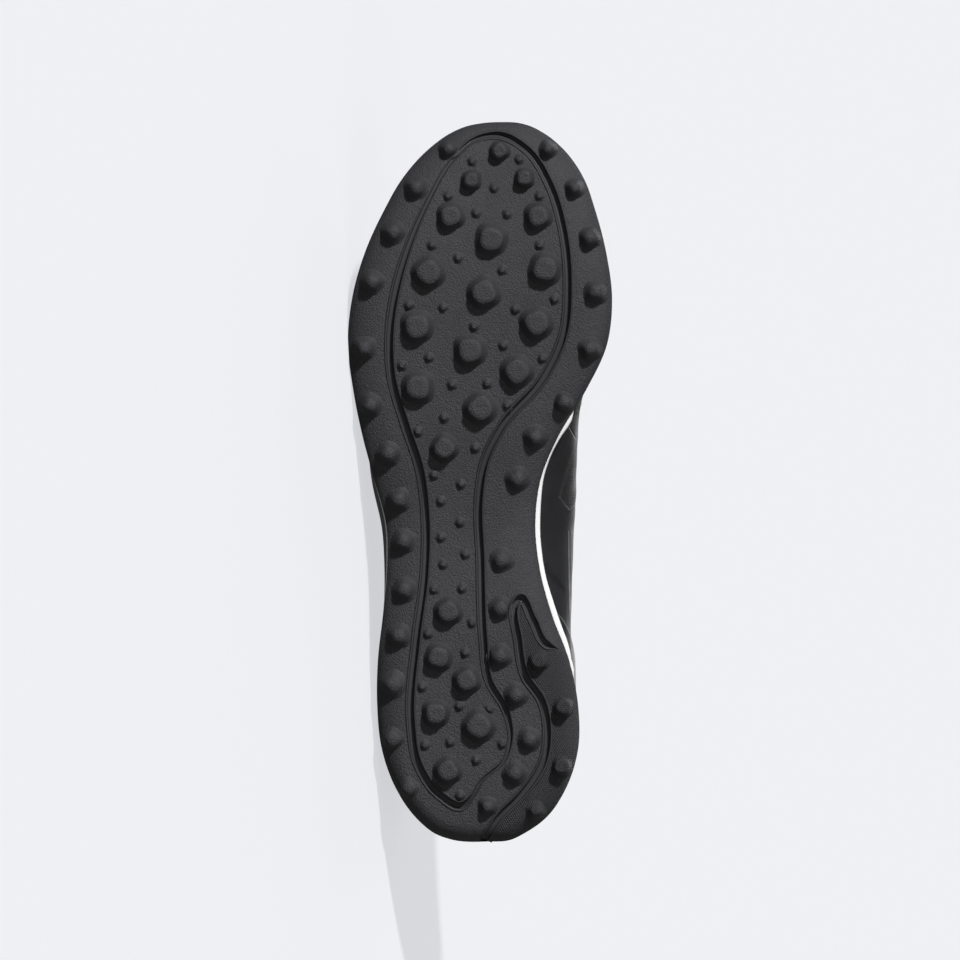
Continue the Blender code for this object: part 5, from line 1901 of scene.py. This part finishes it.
@dataclass
class Lace:
    """The flat lace, run through the eyelets."""

    width: float = 0.0048
    thickness: float = 0.0011
    over: float = 0.0022
    under: float = -0.0026
    eyelet_row: float = 0.915

    def run(self, start: tuple, end: tuple, hump: float) -> tuple:
        """One run of lace between two eyelets.

        Args:
            start: Side, place round the wall and kind of end.
            end: The same for its other end.
            hump: How far its middle stands above the plain arch.

        Returns:
            Its points, its faces and its cloth places.
        """
        line, normals = [], []
        for (side, share, kind), order in ((start, 1), (end, -1)):
            lift = self.over if kind is LaceEnd.UP_THROUGH else self.under
            stops = [(self.eyelet_row, lift), (0.94, lift)]
            if kind is LaceEnd.UP_THROUGH:
                stops = [(self.eyelet_row, -0.0030), (self.eyelet_row + 0.006, -0.0005), (0.935, lift * 0.9)]
            stops += [(0.965, lift), (0.995, lift)]
            v = np.array([stop[0] for stop in stops][::order])
            lifts = np.array([stop[1] for stop in stops][::order])
            u = np.full(len(v), share)
            line.append(FORM.off_wall(side, u, v, lifts))
            normals.append(FORM.wall_normal(side, u, v))
        a, b = line[0][-1], line[1][0]
        gap = np.linalg.norm(b - a) / 2
        lean = float(FORM.column(FORM.sections, 5, (start[1] + end[1]) / 2))
        crown = gap * math.tan(math.radians(90 - lean) / 2) + hump
        t = np.linspace(0, 1, 9)[1:-1, None]
        arch = a * (1 - t) + b * t + np.array([0, 0, 4 * crown]) * t * (1 - t)
        arch_normals = normals[0][-1] * (1 - t) + normals[1][0] * t + np.array([0, 0, 0.6])
        rough = np.concatenate([line[0], arch, line[1]])
        rough_normals = np.concatenate([normals[0], unit(arch_normals), normals[1]])
        fine = smooth_line(np.column_stack([rough, rough_normals]), per_span=4)
        middle, up = fine[:, :3], unit(fine[:, 3:])
        head = unit(np.gradient(middle, axis=0))
        beside = unit(np.cross(head, up))
        up = np.cross(beside, head)
        spots = [(-0.5, 0), (-0.47, 0.32), (-0.40, 0.46), (-0.2, 0.5), (0, 0.46)]
        spots = np.array([*spots, (0.2, 0.5), (0.40, 0.46), (0.47, 0.32)])
        spots = np.concatenate([spots, -spots])
        rings = [middle + beside * x * self.width + up * z * self.thickness for x, z in spots]
        grid = np.stack(rings, 1)
        cloth = np.zeros(grid.shape)
        cloth[..., 0] = spots[:, 0] * self.width / MM
        cloth[..., 1] = run_lengths(middle)[:, None] / MM
        return grid.reshape(-1, 3), grid_faces(len(middle), len(spots), True), cloth.reshape(-1, 3)

    def build(self, eyelets: np.ndarray) -> Piece:
        """The front bar, the crossings, and both ends down into the top eyelets.

        Args:
            eyelets: Places of the eyelets round the wall, from the collar's end to the front.

        Returns:
            The piece.
        """
        up, under = LaceEnd.UP_THROUGH, LaceEnd.UNDER
        last = len(eyelets) - 1
        runs = [((Side.OUTER, eyelets[last], up), (Side.INNER, eyelets[last], up), 0.0)]
        for front in range(last, 0, -1):
            first_end = under if front == last else up
            last_end = up if front == 1 else under
            for number, (near, far) in enumerate(((Side.OUTER, Side.INNER), (Side.INNER, Side.OUTER))):
                hump = 0.0004 + number * 0.0014
                runs.append(((near, eyelets[front], first_end), (far, eyelets[front - 1], last_end), hump))
        points, faces, cloth, count = [], [], [], 0
        for run in runs:
            more, more_faces, more_cloth = self.run(*run)
            points.append(more)
            cloth.append(more_cloth)
            faces += [[corner + count for corner in face] for face in more_faces]
            count += len(more)
        return Piece("lace_run", np.concatenate(points), faces, cloth_mm=np.concatenate(cloth))

    def dress(self, finishes: Finishes, eyelets: np.ndarray) -> None:
        """Builds it and gives it its finish."""
        self.build(eyelets).dress("lace_cord", finishes.cord, replaces=("lace",), sharp=80)


@dataclass
class Studio:
    """The floor, the backdrop, the light and the camera."""

    distance: float = 3.2
    frame_width: float = 0.3792
    centre: tuple = (0.0001, 0.143, 0.010)
    pale: str = "#eeeff3"
    sensor_mm: float = 36.0
    # degrees from the toe's direction towards the inner side, and degrees off the sole's plane
    key_turn: float = 27.0
    key_rise: float = 40.0
    # strength in watts per square metre, and how wide it looks in degrees
    key: tuple = (3.3, 5)
    fill: tuple = (0.42, 70)
    back: tuple = (0.7, 40)
    # directions to the light: on the standing shoe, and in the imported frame
    fill_way: tuple = (-0.35, -0.45, -0.82)
    back_way: tuple = (-0.25, 0.92, 0.30)
    room_light: float = 0.12
    # how much light each throws back, and how much of its colour is its own light
    floor_light: tuple = (0.34, 0.714)
    backdrop_light: tuple = (0.0, 1.0)
    floor_reach: float = 14.0
    backdrop_radius: float = 13.0

    def surface(self, name: str, points: list, faces: list, shown: float, own: float) -> bpy.types.Object:
        """A pale surface that the camera sees and that throws no light on the shoe.

        Args:
            name: Its name.
            points: Its corners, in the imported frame.
            faces: Its faces.
            shown: How much light it throws back.
            own: How much of its colour is its own light.

        Returns:
            The object.
        """
        mesh = bpy.data.meshes.new(name)
        mesh.from_pydata(points, [], faces)
        item = bpy.data.objects.new(name, mesh)
        bpy.context.scene.collection.objects.link(item)
        material = bpy.data.materials.new("pale_" + name)
        material.use_nodes = True
        shader = material.node_tree.nodes["Principled BSDF"]
        shader.inputs["Base Color"].default_value = (shown, shown, shown, 1)
        shader.inputs["Roughness"].default_value = 0.9
        shader.inputs["Specular IOR Level"].default_value = 0.0
        shader.inputs["Emission Color"].default_value = linear(self.pale)
        shader.inputs["Emission Strength"].default_value = own
        mesh.materials.append(material)
        item.visible_diffuse = False
        item.visible_glossy = False
        return item

    def floor(self) -> None:
        """A plain pale floor, and a pale backdrop round it."""
        reach = self.floor_reach
        corners = [(-reach, -reach, 0), (reach, -reach, 0), (reach, reach, 0), (-reach, reach, 0)]
        self.surface("floor", corners, [(0, 1, 2, 3)], *self.floor_light)
        angle = np.linspace(0, 2 * np.pi, 48, endpoint=False)
        ring = np.stack([np.cos(angle), np.sin(angle)], 1) * self.backdrop_radius
        points = [(x, y, z) for z in (-0.5, 12.0) for x, y in ring.tolist()]
        backdrop = self.surface("backdrop", points, grid_faces(2, 48, closed=True), *self.backdrop_light)
        backdrop.visible_shadow = False

    def light(self, name: str, way: np.ndarray, strength: float, softness: float) -> None:
        """One far light that falls evenly on the whole set.

        Args:
            name: Its name.
            way: Direction from the shoe to the light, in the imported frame.
            strength: How strong it is, in watts per square metre.
            softness: How wide it looks from the shoe, in degrees.
        """
        data = bpy.data.lights.new(name, "SUN")
        data.energy = strength
        data.angle = math.radians(softness)
        item = bpy.data.objects.new(name, data)
        bpy.context.scene.collection.objects.link(item)
        item.rotation_euler = Vector(way).to_track_quat("Z", "Y").to_euler()

    def camera(self) -> None:
        """A long lens square to the sole, rolled so that the toe is up."""
        data = bpy.data.cameras.new("camera")
        data.sensor_width = self.sensor_mm
        data.lens = self.sensor_mm * self.distance / self.frame_width
        data.clip_end = 60
        item = bpy.data.objects.new("camera", data)
        bpy.context.scene.collection.objects.link(item)
        back = Vector(LYING.way((0, 0, -1)))
        up = Vector(LYING.way((0, 1, 0)))
        turn = Matrix((up.cross(back), up, back)).transposed().to_4x4()
        item.matrix_world = Matrix.Translation(Vector(LYING.lay(self.centre)) + back * self.distance) @ turn
        bpy.context.scene.camera = item

    def set_up(self) -> None:
        """Builds all of it."""
        self.floor()
        turn, rise = math.radians(self.key_turn), math.radians(self.key_rise)
        key_way = (-math.sin(turn) * math.cos(rise), math.cos(turn) * math.cos(rise), -math.sin(rise))
        self.light("key", LYING.way(key_way), *self.key)
        self.light("fill", LYING.way(self.fill_way), *self.fill)
        self.light("back", np.array(self.back_way), *self.back)
        world = bpy.data.worlds.new("studio")
        bpy.context.scene.world = world
        world.use_nodes = True
        background = world.node_tree.nodes["Background"]
        background.inputs["Color"].default_value = (1, 1, 1, 1)
        background.inputs["Strength"].default_value = self.room_light
        bpy.context.scene.view_settings.view_transform = "Standard"
        self.camera()


def main() -> None:
    """Builds the shoe's looks and the studio round it."""
    finishes = Finishes()
    Studio().set_up()
    Outsole().dress(finishes)
    Midsole().dress(finishes)
    Insole().dress(finishes)
    upper = Upper()
    upper.dress(finishes)
    Tongue().dress(finishes)
    Lace().dress(finishes, upper.eyelets())


if __name__ == "__main__":
    main()
